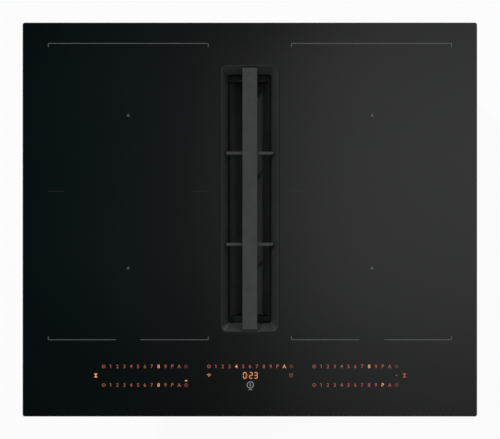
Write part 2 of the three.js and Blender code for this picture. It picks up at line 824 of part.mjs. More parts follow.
// The cover of the housing, with the neck that rises through the casing to the bezel.
function airDuctLid() {
  const neckOuterX = neckHalfX + neckWall;
  const neckOuterY = neckHalfY + neckWall;
  const body = join(
    slab(plenumOutline(0), lidUnderZ, ductHeight),
    block(
      0, fanCentreX, fanCentreY - lidBridgeWidth / 2, fanCentreY + lidBridgeWidth / 2,
      lidUnderZ, ductHeight),
    slab(diffuserOutline(ductWall, 0), lidUnderZ, ductHeight),
    slab(scrollOutline(ductWall), lidUnderZ, ductHeight),
    slab(
      centredRectangle(0, inletCentreY, neckOuterX, neckOuterY, throatCornerRadius + neckWall),
      lidUnderZ, neckFlangeTopZ),
    slab(
      centredRectangle(0, inletCentreY, flangeHalfX, flangeHalfY, bezelCornerRadius),
      neckFlangeTopZ - neckFlangeThickness, neckFlangeTopZ));
  const opening = centredRectangle(0, inletCentreY, neckHalfX, neckHalfY, throatCornerRadius);
  return cut(body, slab(opening, lidUnderZ - cutExtra, neckFlangeTopZ + cutExtra));
}

add("air_duct_tub", airDuctTub(), "blackPlastic");
add("volute", volute(), "blackPlastic");
add("air_duct_lid", airDuctLid(), "blackPlastic");

// ---------------------------------------------------------------- extractor fan

const impellerUnderZ = lowPlateZ + ductWall + impellerFloorGap;
const impellerTopZ = impellerUnderZ + impellerHeight;
const bladeRootRadius = impellerRadius - bladeLength;
const motorTopZ = ductWallTopZ - motorBracketThickness - seatGap;
const motorUnderZ = motorTopZ - motorHeight;
const cupInnerRadius = motorRadius + motorClearance;
const cupOuterRadius = cupInnerRadius + impellerCupWall;
const cupFloorZ = motorUnderZ - motorClearance;

// One blade, hollow side forward, between its root radius and the rim.
function impellerBlade(index) {
  const turn = index * 2 * Math.PI / bladeCount;
  const stations = [0, 0.25, 0.5, 0.75, 1];
  const inset = impellerDisc / 5;
  const reach = bladeLength - inset * 2;
  const point = (share, offset) => {
    const radius = bladeRootRadius + inset + reach * share;
    const angle = turn + bladeLean * share * share + offset / radius;
    return [fanCentreX + radius * Math.cos(angle), fanCentreY + radius * Math.sin(angle)];
  };
  const leading = stations.map((share) => point(share, -bladeThickness / 2));
  const trailing = stations.map((share) => point(share, bladeThickness / 2)).reverse();
  const inside = impellerDisc / 2;
  return slab(outline([...leading, ...trailing]), impellerUnderZ + inside, impellerTopZ - inside);
}

function impeller() {
  const eyeRing = turned(fanCentreX, fanCentreY, [
    [bladeRootRadius, impellerUnderZ],
    [impellerRadius, impellerUnderZ],
    [impellerRadius, impellerUnderZ + impellerDisc],
    [bladeRootRadius, impellerUnderZ + impellerDisc],
    [bladeRootRadius, impellerUnderZ],
  ]);
  const boreRadius = shaftRadius + seatGap;
  const hubFloorZ = cupFloorZ - impellerDisc;
  const cup = turned(fanCentreX, fanCentreY, [
    [boreRadius, hubFloorZ - hubRadius],
    [hubRadius, hubFloorZ - hubRadius],
    [hubRadius, hubFloorZ],
    [cupOuterRadius, hubFloorZ],
    [cupOuterRadius, impellerTopZ - impellerDisc],
    [impellerRadius, impellerTopZ - impellerDisc],
    [impellerRadius, impellerTopZ],
    [cupInnerRadius, impellerTopZ],
    [cupInnerRadius, cupFloorZ],
    [boreRadius, cupFloorZ],
    [boreRadius, hubFloorZ - hubRadius],
  ]);
  const blades = Array.from({ length: bladeCount }, (_, index) => impellerBlade(index));
  return join(cup, eyeRing, ...blades);
}

function motorShaft() {
  const underZ = cupFloorZ - impellerDisc - hubRadius - runningGap;
  return rod(fanCentreX, fanCentreY, shaftRadius, underZ, motorUnderZ - seatGap);
}

// The motor hangs from its bracket inside the impeller's cup.
function fanMotor() {
  return turned(fanCentreX, fanCentreY, [
    [0, motorUnderZ],
    [motorRadius - motorShoulder, motorUnderZ],
    [motorRadius, motorUnderZ + motorShoulder],
    [motorRadius, motorTopZ],
    [0, motorTopZ],
  ]);
}

function motorBracket() {
  const underZ = motorTopZ + seatGap;
  const topZ = ductWallTopZ + seatGap;
  const plate = rod(fanCentreX, fanCentreY, motorRadius + motorBracketMargin, underZ, topZ, 32);
  const ears = [0, 120, 240].map((degrees) => {
    const [x, y] = polarPoint(motorRadius + motorEarOffset, degrees);
    return rod(x, y, motorEarRadius, underZ, topZ);
  });
  return join(plate, ...ears);
}

add("impeller", impeller(), "blackPlastic");
add("motor_shaft", motorShaft(), "stainless");
add("fan_motor", fanMotor(), "sheetSteel");
add("motor_bracket", motorBracket(), "sheetSteel");

// ---------------------------------------------------------------- outlet collar and flap

const collarMiddleZ = (lowPlateZ + ductWallTopZ) / 2;
const spigotHalfX = outletInnerWidth / 2;
const spigotHalfZ = outletHeight / 2 - ductWall;
const flapSeatY = collarSpigotY + flapSeat;
const flapFaceY = flapSeatY + seatGap;
const flapAxisY = flapFaceY + flapTubeRadius;
const flapAxisZ = collarMiddleZ + spigotHalfZ - flapTubeRadius - slideGap;
const pinBoreRadius = flapPinRadius + seatGap;

function outletCollar() {
  const left = outletMiddleX - spigotHalfX;
  const right = outletMiddleX + spigotHalfX;
  const under = collarMiddleZ - spigotHalfZ;
  const top = collarMiddleZ + spigotHalfZ;
  const body = join(
    block(
      left - ductWall - outletFlange, right + ductWall + outletFlange,
      collarFlangeY, collarSpigotY, lowPlateZ, ductWallTopZ),
    block(
      left - ductWall, right + ductWall, collarFlangeY, collarEndY,
      under - ductWall, top + ductWall));
  return cut(
    body,
    block(
      left + flapSeat, right - flapSeat, collarFlangeY - cutExtra, collarEndY,
      under + flapSeat, top - flapSeat),
    block(left, right, flapSeatY, collarEndY + cutExtra, under, top),
    rodAlongX(left - ductWall / 2, right + ductWall / 2, flapAxisY, flapAxisZ, pinBoreRadius));
}

function outletFlap() {
  const halfX = spigotHalfX - flapSideGap;
  const underZ = collarMiddleZ - spigotHalfZ + slideGap;
  const left = outletMiddleX - halfX;
  const right = outletMiddleX + halfX;
  const body = join(
    block(left, right, flapFaceY, flapFaceY + flapThickness, underZ, flapAxisZ),
    rodAlongX(left, right, flapAxisY, flapAxisZ, flapTubeRadius));
  return cut(
    body,
    rodAlongX(left - cutExtra, right + cutExtra, flapAxisY, flapAxisZ, pinBoreRadius));
}

function flapPin() {
  const reach = spigotHalfX + ductWall / 2 - seatGap;
  return rodAlongX(
    outletMiddleX - reach, outletMiddleX + reach, flapAxisY, flapAxisZ, flapPinRadius);
}

add("outlet_collar", outletCollar(), "greyPlastic");
add("outlet_flap", outletFlap(), "greyPlastic");
add("flap_pin", flapPin(), "stainless");

// ---------------------------------------------------------------- casing

// Slots in a row along X, through whatever lies between two y and two z values.
function slotRow(centreX, count, y0, y1, z0, z1) {
  return Array.from({ length: count }, (_, index) => {
    const x = centreX + (index - (count - 1) / 2) * ventPitch;
    return block(x - ventWidth / 2, x + ventWidth / 2, y0, y1, z0, z1);
  });
}

function boardPosts(sideX) {
  const inset = boardPostRadius * 2;
  return [-1, 1].flatMap((dx) => [-1, 1].map((dy) => {
    const x = sideX + dx * (boardWidth / 2 - inset);
    const y = boardCentreY + dy * (boardLength / 2 - inset);
    const underZ = casingFloorZ - sheetThickness / 2;
    return rod(x, y, boardPostRadius, underZ, casingFloorZ + boardPostHeight, 8);
  }));
}

function casingTray() {
  const outer = centredRectangle(0, 0, casingHalfX, casingHalfY, casingCornerRadius);
  const inner = centredRectangle(
    0, 0, casingInnerHalfX, casingInnerHalfY, casingCornerRadius - sheetThickness);
  const shell = cut(
    slab(outer, casingUnderZ, casingTopZ),
    slab(inner, casingFloorZ, casingTopZ + cutExtra));
  const neckHole = centredRectangle(
    0, inletCentreY, flangeHalfX + casingNeckGap, flangeHalfY + casingNeckGap,
    bezelCornerRadius);
  const tools = [slab(neckHole, casingUnderZ - cutExtra, casingFloorZ + cutExtra)];
  const ventMiddleZ = (casingUnderZ + casingTopZ) / 2;
  for (const [, side] of sides) {
    const x = side * zoneOffsetX;
    const slotHalf = coolingFanBore - ventWidth;
    tools.push(...slotRow(
      x, intakeSlots, coolingFanCentreY - slotHalf, coolingFanCentreY + slotHalf,
      casingUnderZ - cutExtra, casingFloorZ + cutExtra / 2));
    for (const [, row] of rows) {
      const wallY = row * casingHalfY;
      tools.push(...slotRow(
        x, ventsPerSide, wallY - cutExtra, wallY + cutExtra,
        ventMiddleZ - ventHeight / 2, ventMiddleZ + ventHeight / 2));
    }
  }
  const posts = sides.flatMap(([, side]) => boardPosts(side * zoneOffsetX));
  return join(cut(shell, ...tools), ...posts);
}

add("casing_tray", casingTray(), "sheetSteel");

// ---------------------------------------------------------------- side springs

// A bowed strip on the casing's wall, which the edge of the cut-out presses flat.
function sideSpring(side, row) {
  const wallX = casingHalfX + seatGap;
  const topZ = casingTopZ - springTopInset;
  const underZ = topZ - springHeight;
  const middleZ = (topZ + underZ) / 2;
  const bow = springBulge * 2;
  const shape = new THREE.Shape();
  shape.moveTo(wallX, underZ);
  shape.lineTo(wallX + springThickness, underZ);
  shape.quadraticCurveTo(wallX + springThickness + bow, middleZ, wallX + springThickness, topZ);
  shape.lineTo(wallX, topZ);
  shape.quadraticCurveTo(wallX + bow, middleZ, wallX, underZ);
  const y = row * springOffsetY;
  const strip = slabAlongY(shape, y - springWidth / 2, y + springWidth / 2);
  return side > 0 ? strip : strip.rotateZ(Math.PI).translate(0, y * 2, 0);
}

for (const [rowName, row] of rows) {
  for (const [sideName, side] of sides) {
    add(`side_spring_${rowName}_${sideName}`, sideSpring(side, row), "stainless");
  }
}

// ---------------------------------------------------------------- coils

// An upturned channel that stands on the casing floor and makes a tunnel for cooling air.
function coilPlate(sideX) {
  const body = block(
    sideX - coilPlateHalfX, sideX + coilPlateHalfX, coilPlateFrontY, coilPlateRearY,
    casingFloorZ + seatGap, coilPlateTopZ);
  const tunnel = block(
    sideX - coilPlateHalfX + coilPlateThickness, sideX + coilPlateHalfX - coilPlateThickness,
    coilPlateFrontY - cutExtra, coilPlateRearY + cutExtra,
    casingFloorZ - cutExtra, coilPlateUnderZ);
  return cut(body, tunnel);
}

function coilFormer(x, y) {
  const plate = slab(
    centredRectangle(x, y, formerHalfX, formerHalfY, formerHalfY / 2),
    formerUnderZ, formerTopZ, 4);
  const hub = rod(x, y, formerHubRadius, formerTopZ - 1, coilUnderZ + coilHeight / 2, 24);
  const hole = rod(x, y, formerHoleRadius, formerUnderZ - cutExtra, coilTopZ + cutExtra);
  return cut(join(plate, hub), hole);
}

// A flat oval spiral, drawn as one band that ends a turn's width inside its outer size.
function coilWinding(x, y) {
  const steps = coilTurns * coilStepsPerTurn;
  const pitchX = (formerHalfX - coilEdgeMargin - coilInnerRadius) / (coilTurns + 1);
  const pitchY = (formerHalfY - coilEdgeMargin - coilInnerRadius) / (coilTurns + 1);
  const point = (step, width) => {
    const turn = step / coilStepsPerTurn;
    const angle = turn * 2 * Math.PI;
    const radiusX = coilInnerRadius + pitchX * turn + width;
    const radiusY = coilInnerRadius + pitchY * turn + width;
    return [x + radiusX * Math.cos(angle), y + radiusY * Math.sin(angle)];
  };
  const bandWidth = pitchY - coilTurnGap;
  const inner = [];
  const outer = [];
  for (let step = 0; step <= steps; step += 1) {
    inner.push(point(step, 0));
    outer.push(point(step, bandWidth));
  }
  return slab(outline([...outer, ...inner.reverse()]), coilUnderZ, coilTopZ);
}

// A temperature sensor on the former's hub, pressed towards the glass.
function zoneSensor(x, y) {
  const seatZ = coilUnderZ + coilHeight / 2 + seatGap;
  return turned(x, y, [
    [0, formerUnderZ],
    [sensorStemRadius, formerUnderZ],
    [sensorStemRadius, seatZ],
    [sensorRadius, seatZ],
    [sensorRadius, coilTopZ],
    [0, coilTopZ],
  ], 16);
}

function micaSheet(sideX) {
  return block(
    sideX - zoneHalfX, sideX + zoneHalfX, zoneFrontY + micaEndInset, zoneRearY - micaEndInset,
    micaUnderZ, micaTopZ);
}

for (const [sideName, side] of sides) {
  const x = side * zoneOffsetX;
  add(`coil_plate_${sideName}`, coilPlate(x), "aluminium");
  add(`mica_sheet_${sideName}`, micaSheet(x), "mica");
  for (const [rowName, row] of rows) {
    const y = zoneMiddleY + row * zoneHalfY;
    add(`coil_former_${rowName}_${sideName}`, coilFormer(x, y), "blackPlastic");
    add(`coil_winding_${rowName}_${sideName}`, coilWinding(x, y), "copper");
    add(`zone_sensor_${rowName}_${sideName}`, zoneSensor(x, y), "stainless");
  }
}

// ---------------------------------------------------------------- power boards and cooling

const heatSinkUnderZ = boardTopZ + seatGap;

// A board with two capacitors, two chokes and a row of plugs beside its heat sink.
function powerBoard(sideX) {
  const board = centredBlock(sideX, boardCentreY, boardWidth, boardLength, boardUnderZ, boardTopZ);
  const rootZ = boardTopZ - boardThickness / 2;
  const partsX = sideX + boardPartsOffsetX;
  const capacitorMiddleY = boardFrontY + capacitorFrontInset;
  const chokeMiddleY = boardCentreY + chokeOffsetY;
  const capacitors = [-0.5, 0.5].map((step) => (
    rod(
      partsX, capacitorMiddleY + step * capacitorPitch, capacitorRadius,
      rootZ, boardTopZ + capacitorHeight)));
  const chokes = [-0.5, 0.5].map((step) => (
    centredBlock(
      partsX, chokeMiddleY + step * chokePitch, chokeWidth, chokeLength,
      rootZ, boardTopZ + chokeHeight)));
  const plugRow = centredBlock(
    partsX, boardRearY - plugRowRearInset, plugRowWidth, plugRowLength,
    rootZ, boardTopZ + plugRowHeight);
  return join(board, ...capacitors, ...chokes, plugRow);
}

// An extruded comb of fins on a thick base.
function heatSink(sideX) {
  const centreX = sideX - heatSinkOffsetX;
  const left = centreX - heatSinkWidth / 2;
  const pitch = (heatSinkWidth - heatSinkFinThickness) / (heatSinkFins - 1);
  const baseTopZ = heatSinkUnderZ + heatSinkBase;
  const finTopZ = heatSinkUnderZ + heatSinkHeight;
  const points = [[left, heatSinkUnderZ], [left + heatSinkWidth, heatSinkUnderZ]];
  for (let fin = heatSinkFins - 1; fin >= 0; fin -= 1) {
    const finX = left + fin * pitch;
    points.push([finX + heatSinkFinThickness, baseTopZ]);
    points.push([finX + heatSinkFinThickness, finTopZ]);
    points.push([finX, finTopZ]);
    points.push([finX, baseTopZ]);
  }
  const comb = points.filter(([x, z]) => z !== baseTopZ || (x > left && x < left + heatSinkWidth));
  const half = heatSinkLength / 2;
  return slabAlongY(outline(comb), boardCentreY - half, boardCentreY + half);
}

const coolingFanUnderZ = casingFloorZ + seatGap;
const coolingFanTopZ = coolingFanUnderZ + coolingFanHeight;
const coolingFanArmUnderZ = coolingFanTopZ - coolingFanArmThickness;

// A square frame whose bore is crossed at the top by arms that carry the rotor.
function coolingFanFrame(x, y) {
  const plan = centredRectangle(x, y, coolingFanHalf, coolingFanHalf, coolingFanCornerRadius);
  const body = slab(plan, coolingFanUnderZ, coolingFanTopZ);
  const bore = rod(
    x, y, coolingFanBore, coolingFanUnderZ - cutExtra, coolingFanTopZ + cutExtra, 32);
  const span = coolingFanBore + coolingFanHalf;
  const arms = [[span, coolingFanArmWidth], [coolingFanArmWidth, span]].map(([width, length]) => (
    centredBlock(x, y, width, length, coolingFanArmUnderZ, coolingFanTopZ)));
  const seat = rod(x, y, coolingFanHub, coolingFanArmUnderZ, coolingFanTopZ, 24);
  return join(cut(body, bore), ...arms, seat);
}

// A hub with pitched blades, which hangs below the frame's arms.
function coolingFanRotor(x, y) {
  const topZ = coolingFanArmUnderZ - seatGap;
  const underZ = coolingFanUnderZ + slideGap;
  const hub = rod(x, y, coolingFanHub, underZ, topZ, 24);
  const tip = coolingFanBore - runningGap;
  const bladeWidth = (topZ - underZ) * 0.95;
  const blades = Array.from({ length: coolingBladeCount }, (_, index) => {
    const root = coolingFanHub - 1;
    const blade = new THREE.BoxGeometry(tip - root, coolingBladeThickness, bladeWidth);
    blade.rotateX(coolingBladePitch);
    blade.translate((tip + root) / 2, 0, 0);
    blade.rotateZ(index * 2 * Math.PI / coolingBladeCount);
    return blade.translate(x, y, (underZ + topZ) / 2);
  });
  const sweep = rod(x, y, tip, underZ, topZ, 32);
  return common(join(hub, ...blades), sweep);
}

for (const [sideName, side] of sides) {
  const x = side * zoneOffsetX;
  add(`power_board_${sideName}`, powerBoard(x), "board");
  add(`heat_sink_${sideName}`, heatSink(x), "aluminium");
  add(`cooling_fan_frame_${sideName}`, coolingFanFrame(x, coolingFanCentreY), "blackPlastic");
  add(`cooling_fan_rotor_${sideName}`, coolingFanRotor(x, coolingFanCentreY), "blackPlastic");
}

// ---------------------------------------------------------------- touch control

const touchTopZ = glassUnderZ - seatGap;
const touchBoardTopZ = touchTopZ - touchKeyHeight;
const touchBoardUnderZ = touchBoardTopZ - boardThickness;

// A shallow open box on four legs, which carries the touch board under the glass.
function touchCarrier() {
  const wall = touchCarrierWall;
  const floorZ = touchBoardUnderZ - seatGap - touchCarrierDepth;
  const box = block(
    -touchHalfX - wall - seatGap, touchHalfX + wall + seatGap,
    touchFrontY - wall - seatGap, touchRearY + wall + seatGap, floorZ, touchTopZ - seatGap);
  const room = block(
    -touchHalfX - seatGap, touchHalfX + seatGap, touchFrontY - seatGap, touchRearY + seatGap,
    touchBoardUnderZ - seatGap, touchTopZ + cutExtra);
  const well = block(
    -touchHalfX + wall, touchHalfX - wall, touchFrontY + wall, touchRearY - wall,
    floorZ + touchCarrierFloor, touchTopZ);
  const legs = [-1, 1].flatMap((dx) => [touchFrontY, touchRearY].map((edgeY) => {
    const x = dx * (touchHalfX - touchLegSize);
    const y = edgeY + (edgeY === touchFrontY ? touchLegSize : -touchLegSize) / 2;
    return centredBlock(x, y, touchLegSize, touchLegSize, casingFloorZ + seatGap, floorZ + 1);
  }));
  return join(cut(box, room, well), ...legs);
}

// The board with its row of key pads and the display window in the middle.
function touchBoard() {
  const board = block(
    -touchHalfX, touchHalfX, touchFrontY, touchRearY, touchBoardUnderZ, touchBoardTopZ);
  const rootZ = touchBoardTopZ - boardThickness / 2;
  const middleY = (touchFrontY + touchRearY) / 2;
  const display = centredBlock(0, middleY, displayWidth, displayLength, rootZ, touchTopZ);
  const rowOffsetX = touchHalfX - touchKeyRowSideInset - touchKeyRowWidth / 2;
  const rowOffsetY = (touchBoardLength - touchKeyRowLength) / 2 - touchKeyRowEndInset;
  const keyRows = [-rowOffsetX, 0, rowOffsetX].flatMap((x) => [-rowOffsetY, rowOffsetY].map((dy) => (
    centredBlock(x, middleY + dy, touchKeyRowWidth, touchKeyRowLength, rootZ, touchTopZ))));
  return join(board, display, ...keyRows);
}

add("touch_carrier", touchCarrier(), "blackPlastic");
add("touch_board", touchBoard(), "board");

// ---------------------------------------------------------------- mains terminal box

const terminalTopZ = casingUnderZ - seatGap;
const terminalUnderZ = terminalTopZ - terminalHeight;
const terminalLeftX = -casingHalfX + terminalSideInset;
const terminalRightX = terminalLeftX + terminalWidth;
const terminalRearY = casingHalfY - terminalRearInset;
const terminalFrontY = terminalRearY - terminalLength;
const terminalCentreX = (terminalLeftX + terminalRightX) / 2;
const terminalCentreY = (terminalFrontY + terminalRearY) / 2;
const coverAxisX = terminalLeftX - seatGap - terminalTubeRadius;
const coverAxisZ = terminalTopZ - terminalTubeRadius - terminalPinDrop;
const glandMiddleZ = terminalUnderZ + terminalHeight / 2 - glandDrop;

// A box that is open to the left, with two ears that hold the pin of its cover.
function terminalBox() {
  const body = block(
    terminalLeftX, terminalRightX, terminalFrontY, terminalRearY, terminalUnderZ, terminalTopZ);
  const ears = [terminalFrontY, terminalRearY - terminalEarThickness].map((y) => (
    block(
      coverAxisX - terminalTubeRadius, terminalLeftX + terminalWall, y, y + terminalEarThickness,
      coverAxisZ - terminalTubeRadius, terminalTopZ)));
  const room = block(
    terminalLeftX - cutExtra, terminalRightX - terminalWall,
    terminalFrontY + terminalWall, terminalRearY - terminalWall,
    terminalUnderZ + terminalWall, terminalTopZ - terminalWall);
  const between = block(
    terminalLeftX - cutExtra * 2, terminalLeftX, terminalFrontY + terminalEarThickness,
    terminalRearY - terminalEarThickness, terminalUnderZ, terminalTopZ + cutExtra);
  const pinBore = rodAlongY(
    terminalFrontY - cutExtra, terminalRearY + cutExtra, coverAxisX, coverAxisZ,
    terminalPinRadius + seatGap);
  const entry = rodAlongY(
    terminalRearY - cutExtra, terminalRearY + cutExtra, terminalCentreX, glandMiddleZ, glandBore);
  return cut(join(body, ...ears), room, between, pinBore, entry);
}

function terminalBlock() {
  const underZ = terminalUnderZ + terminalWall + seatGap;
  const topZ = underZ + terminalBlockHeight;
  const length = terminalPoles * terminalPolePitch;
  const base = centredBlock(
    terminalCentreX, terminalCentreY, terminalBlockWidth, length, underZ, topZ);
  const wells = Array.from({ length: terminalPoles }, (_, index) => {
    const y = terminalCentreY + (index - (terminalPoles - 1) / 2) * terminalPolePitch;
    return rod(
      terminalCentreX, y, terminalWellRadius, topZ - terminalWellDepth, topZ + cutExtra, 8);
  });
  return cut(base, ...wells);
}

// The cover hangs from its pin and swings out and up.
function terminalCover() {
  const front = terminalFrontY + terminalEarThickness + seatGap;
  const rear = terminalRearY - terminalEarThickness - seatGap;
  const faceX = terminalLeftX - seatGap;
  const body = join(
    block(
      faceX - terminalCoverThickness, faceX, front, rear, terminalUnderZ + seatGap, coverAxisZ),
    rodAlongY(front, rear, coverAxisX, coverAxisZ, terminalTubeRadius));
  return cut(
    body,
    rodAlongY(
      front - cutExtra, rear + cutExtra, coverAxisX, coverAxisZ, terminalPinRadius + seatGap));
}

function terminalCoverPin() {
  return rodAlongY(terminalFrontY, terminalRearY, coverAxisX, coverAxisZ, terminalPinRadius);
}

// A hexagonal gland nut with a collar against the box.
function cableGland() {
  const seatY = terminalRearY + seatGap;
  const nut = rodAlongY(
    seatY + glandCollarLength / 2, seatY + glandLength,
    terminalCentreX, glandMiddleZ, glandRadius, 6);
  const collar = rodAlongY(
    seatY, seatY + glandCollarLength, terminalCentreX, glandMiddleZ, glandCollarRadius, 20);
  const bore = rodAlongY(
    seatY - cutExtra, seatY + glandLength + cutExtra, terminalCentreX, glandMiddleZ, glandBore);
  return cut(join(nut, collar), bore);
}

add("terminal_box", terminalBox(), "greyPlastic");
add("terminal_block", terminalBlock(), "blackPlastic");
add("terminal_cover", terminalCover(), "greyPlastic");
add("terminal_cover_pin", terminalCoverPin(), "stainless");
add("cable_gland", cableGland(), "blackPlastic");

export default cooktop;
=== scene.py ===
# %% [markdown]
# # A downdraft induction cooktop, dressed in Blender
#
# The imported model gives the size, the place and the motion of every solid. This lesson puts the
# looks on it: a finish for every solid that already has the right shape, and a finer piece for
# each one that needs more detail than the solid has. We look straight down on a black glass top
# with an air inlet down its middle, and the sides and the fan housing below are dressed as well.

import math

import bmesh
import bpy
from mathutils import Euler, Matrix, Vector


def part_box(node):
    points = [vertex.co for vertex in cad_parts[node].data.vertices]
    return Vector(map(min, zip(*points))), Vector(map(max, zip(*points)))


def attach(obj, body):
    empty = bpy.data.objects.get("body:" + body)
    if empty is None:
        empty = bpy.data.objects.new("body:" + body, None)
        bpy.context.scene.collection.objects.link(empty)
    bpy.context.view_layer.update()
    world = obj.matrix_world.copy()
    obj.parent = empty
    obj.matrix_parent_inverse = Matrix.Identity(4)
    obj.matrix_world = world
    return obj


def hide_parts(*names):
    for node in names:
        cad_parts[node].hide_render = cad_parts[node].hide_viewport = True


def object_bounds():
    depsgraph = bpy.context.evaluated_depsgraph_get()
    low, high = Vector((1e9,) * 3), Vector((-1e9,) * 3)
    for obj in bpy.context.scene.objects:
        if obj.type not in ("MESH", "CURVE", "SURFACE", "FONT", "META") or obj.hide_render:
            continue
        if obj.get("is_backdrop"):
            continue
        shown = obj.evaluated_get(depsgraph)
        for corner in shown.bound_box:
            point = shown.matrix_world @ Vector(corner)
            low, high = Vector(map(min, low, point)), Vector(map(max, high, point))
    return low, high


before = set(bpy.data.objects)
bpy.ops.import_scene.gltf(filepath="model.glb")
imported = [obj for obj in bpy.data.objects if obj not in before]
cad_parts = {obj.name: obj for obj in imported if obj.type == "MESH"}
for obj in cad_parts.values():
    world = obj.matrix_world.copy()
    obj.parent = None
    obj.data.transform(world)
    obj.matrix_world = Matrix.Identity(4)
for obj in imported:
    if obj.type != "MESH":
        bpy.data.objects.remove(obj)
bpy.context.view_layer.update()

# %% [markdown]
# ## Small helpers
#
# Blender works in metres, and the sizes of a kitchen appliance are easier to read in millimetres.
# So every helper takes millimetres and turns them into metres itself.

# %% Select, name and settle
MM = 0.001


def only(*pieces):
    """Selects these pieces and nothing else. The first one becomes the active one."""
    bpy.ops.object.select_all(action="DESELECT")
    for piece in pieces:
        piece.select_set(True)
    bpy.context.view_layer.objects.active = pieces[0]


def named(name):
    """Names the piece that an operator has just made."""
    piece = bpy.context.object
    piece.name = name
    piece.data.name = name
    return piece


def metres(*lengths):
    return [length * MM for length in lengths]


def in_mm(box):
    """The two corners of a box, which the frame gives in metres, in millimetres."""
    return [corner / MM for corner in box]


def add_mesh(operator, name, place=(0, 0, 0), scale=(1, 1, 1), **options):
    """Adds a simple mesh at a place (mm) and puts its place, turn and scale into the mesh."""
    bpy.ops.object.select_all(action="DESELECT")
    operator(location=metres(*place), **options)
    piece = named(name)
    piece.scale = scale
    only(piece)
    bpy.ops.object.transform_apply(location=True, rotation=True, scale=True)
    return piece


print("one millimetre is", MM, "metres")

# %% [markdown]
# In edit mode an operator acts on what is selected. `pick` opens a piece and selects only the
# vertices, edges or faces that pass a test, such as "its middle is above this height".

# %% Pick parts of a mesh by their place
def pick(piece, kind, test=None):
    """Opens a piece for editing with the parts selected that pass the test, or with all."""
    if bpy.context.mode == "OBJECT":
        only(piece)
        bpy.ops.object.mode_set(mode="EDIT")
    bpy.ops.mesh.select_mode(type=kind)
    bpy.ops.mesh.select_all(action="DESELECT")
    mesh = bmesh.from_edit_mesh(piece.data)
    parts = {"VERT": mesh.verts, "EDGE": mesh.edges, "FACE": mesh.faces}[kind]
    for part in parts:
        if test is None or test(part):
            part.select_set(True)
    mesh.select_flush_mode()
    bmesh.update_edit_mesh(piece.data)


def middle(part):
    """The middle of an edge or a face, in millimetres."""
    places = [vertex.co for vertex in part.verts]
    return sum(places, Vector()) / len(places) / MM


def close(piece):
    bpy.ops.object.mode_set(mode="OBJECT")
    return piece


def bevelled(piece, kind, test, width, steps=3):
    """Cuts off the picked vertices or edges by a width (mm), in one or more steps."""
    pick(piece, kind, test)
    affect = "VERTICES" if kind == "VERT" else "EDGES"
    bpy.ops.mesh.bevel(offset=width * MM, segments=steps, affect=affect)
    return close(piece)


def upright(edge):
    ends = edge.verts[1].co - edge.verts[0].co
    return abs(ends.z) > 0.9 * ends.length


print("helpers for edit mode are ready")

# %% [markdown]
# Moulded and pressed parts have no sharp edges. `rounded_block` starts from a cube, rounds its
# four upright edges in edit mode and then bevels all that is still sharp.

# %% Blocks with rounded edges
def soften(piece, width, steps=2):
    """Rounds every sharp edge with a bevel modifier, which is then applied."""
    only(piece)
    bevel = piece.modifiers.new("soft_edges", "BEVEL")
    bevel.width = width * MM
    bevel.segments = steps
    bevel.limit_method = "ANGLE"
    bevel.angle_limit = math.radians(30)
    bpy.ops.object.modifier_apply(modifier=bevel.name)
    return piece


def rounded_block(name, low, high, edge=0.5, corner=0.0, steps=2):
    """A block between two corners, with its upright edges and then the others rounded."""
    centre = [(a + b) / 2 for a, b in zip(low, high)]
    scale = [(b - a) * MM for a, b in zip(low, high)]
    piece = add_mesh(bpy.ops.mesh.primitive_cube_add, name, centre, scale, size=1)
    if corner:
        bevelled(piece, "EDGE", upright, corner, 5)
    return soften(piece, edge, steps) if edge else piece


print("blocks are ready")

# %% [markdown]
# The glass, the inlet frame and the drip tray all have the same nature: a profile that runs round
# a rounded rectangle. `bridged` adds one loop of edges for each point of the profile and bridges
# each loop to the next. A loop is written as middle x, middle y, half width, half length, corner
# radius and height.

# %% Shapes that run round a rounded rectangle
def add_loop(loop, steps):
    x, y, half_x, half_y, corner, height = loop
    centre = metres(x, y, height)
    bpy.ops.mesh.primitive_plane_add(size=1, location=centre)
    size = (2 * half_x * MM, 2 * half_y * MM, 1)
    bpy.ops.transform.resize(value=size, center_override=centre)
    bpy.ops.mesh.bevel(offset=corner * MM, segments=steps, affect="VERTICES")
    bpy.ops.mesh.delete(type="ONLY_FACE")


def on_loop(vertex, loop):
    """True if the vertex lies on the line of this rounded rectangle."""
    x, y, half_x, half_y, corner, height = loop
    place = vertex.co / MM
    across = abs(place.x - x) - (half_x - corner)
    along = abs(place.y - y) - (half_y - corner)
    reach = math.hypot(max(across, 0), max(along, 0)) + min(max(across, along), 0)
    return abs(reach - corner) < 0.004 and abs(place.z - height) < 0.004


def bridged(name, loops, closed=True, steps=6):
    """A solid whose loops are bridged in order. It closes on itself, or with a cap at each end."""
    piece = bpy.data.objects.new(name, bpy.data.meshes.new(name))
    bpy.context.collection.objects.link(piece)
    only(piece)
    bpy.ops.object.mode_set(mode="EDIT")
    # Two loops at one height could be bridged crosswise, so they are stacked high up at first.
    stack = [(*loop[:5], 1000 + 20 * index) for index, loop in enumerate(loops)]
    for level in stack:
        add_loop(level, steps)
    pairs = list(zip(stack, stack[1:])) + ([(stack[-1], stack[0])] if closed else [])
    for first, second in pairs:
        pick(piece, "VERT", lambda vertex: on_loop(vertex, first) or on_loop(vertex, second))
        bpy.ops.mesh.bridge_edge_loops()
    if not closed:
        for end in (stack[0], stack[-1]):
            pick(piece, "VERT", lambda vertex: on_loop(vertex, end))
            bpy.ops.mesh.edge_face_add()
    for level, loop in zip(stack, loops):
        pick(piece, "VERT", lambda vertex: on_loop(vertex, level))
        bpy.ops.transform.translate(value=metres(0, 0, loop[5] - level[5]))
    bpy.ops.mesh.select_all(action="SELECT")
    bpy.ops.mesh.normals_make_consistent(inside=False)
    return close(piece)


print("bridged loops are ready")

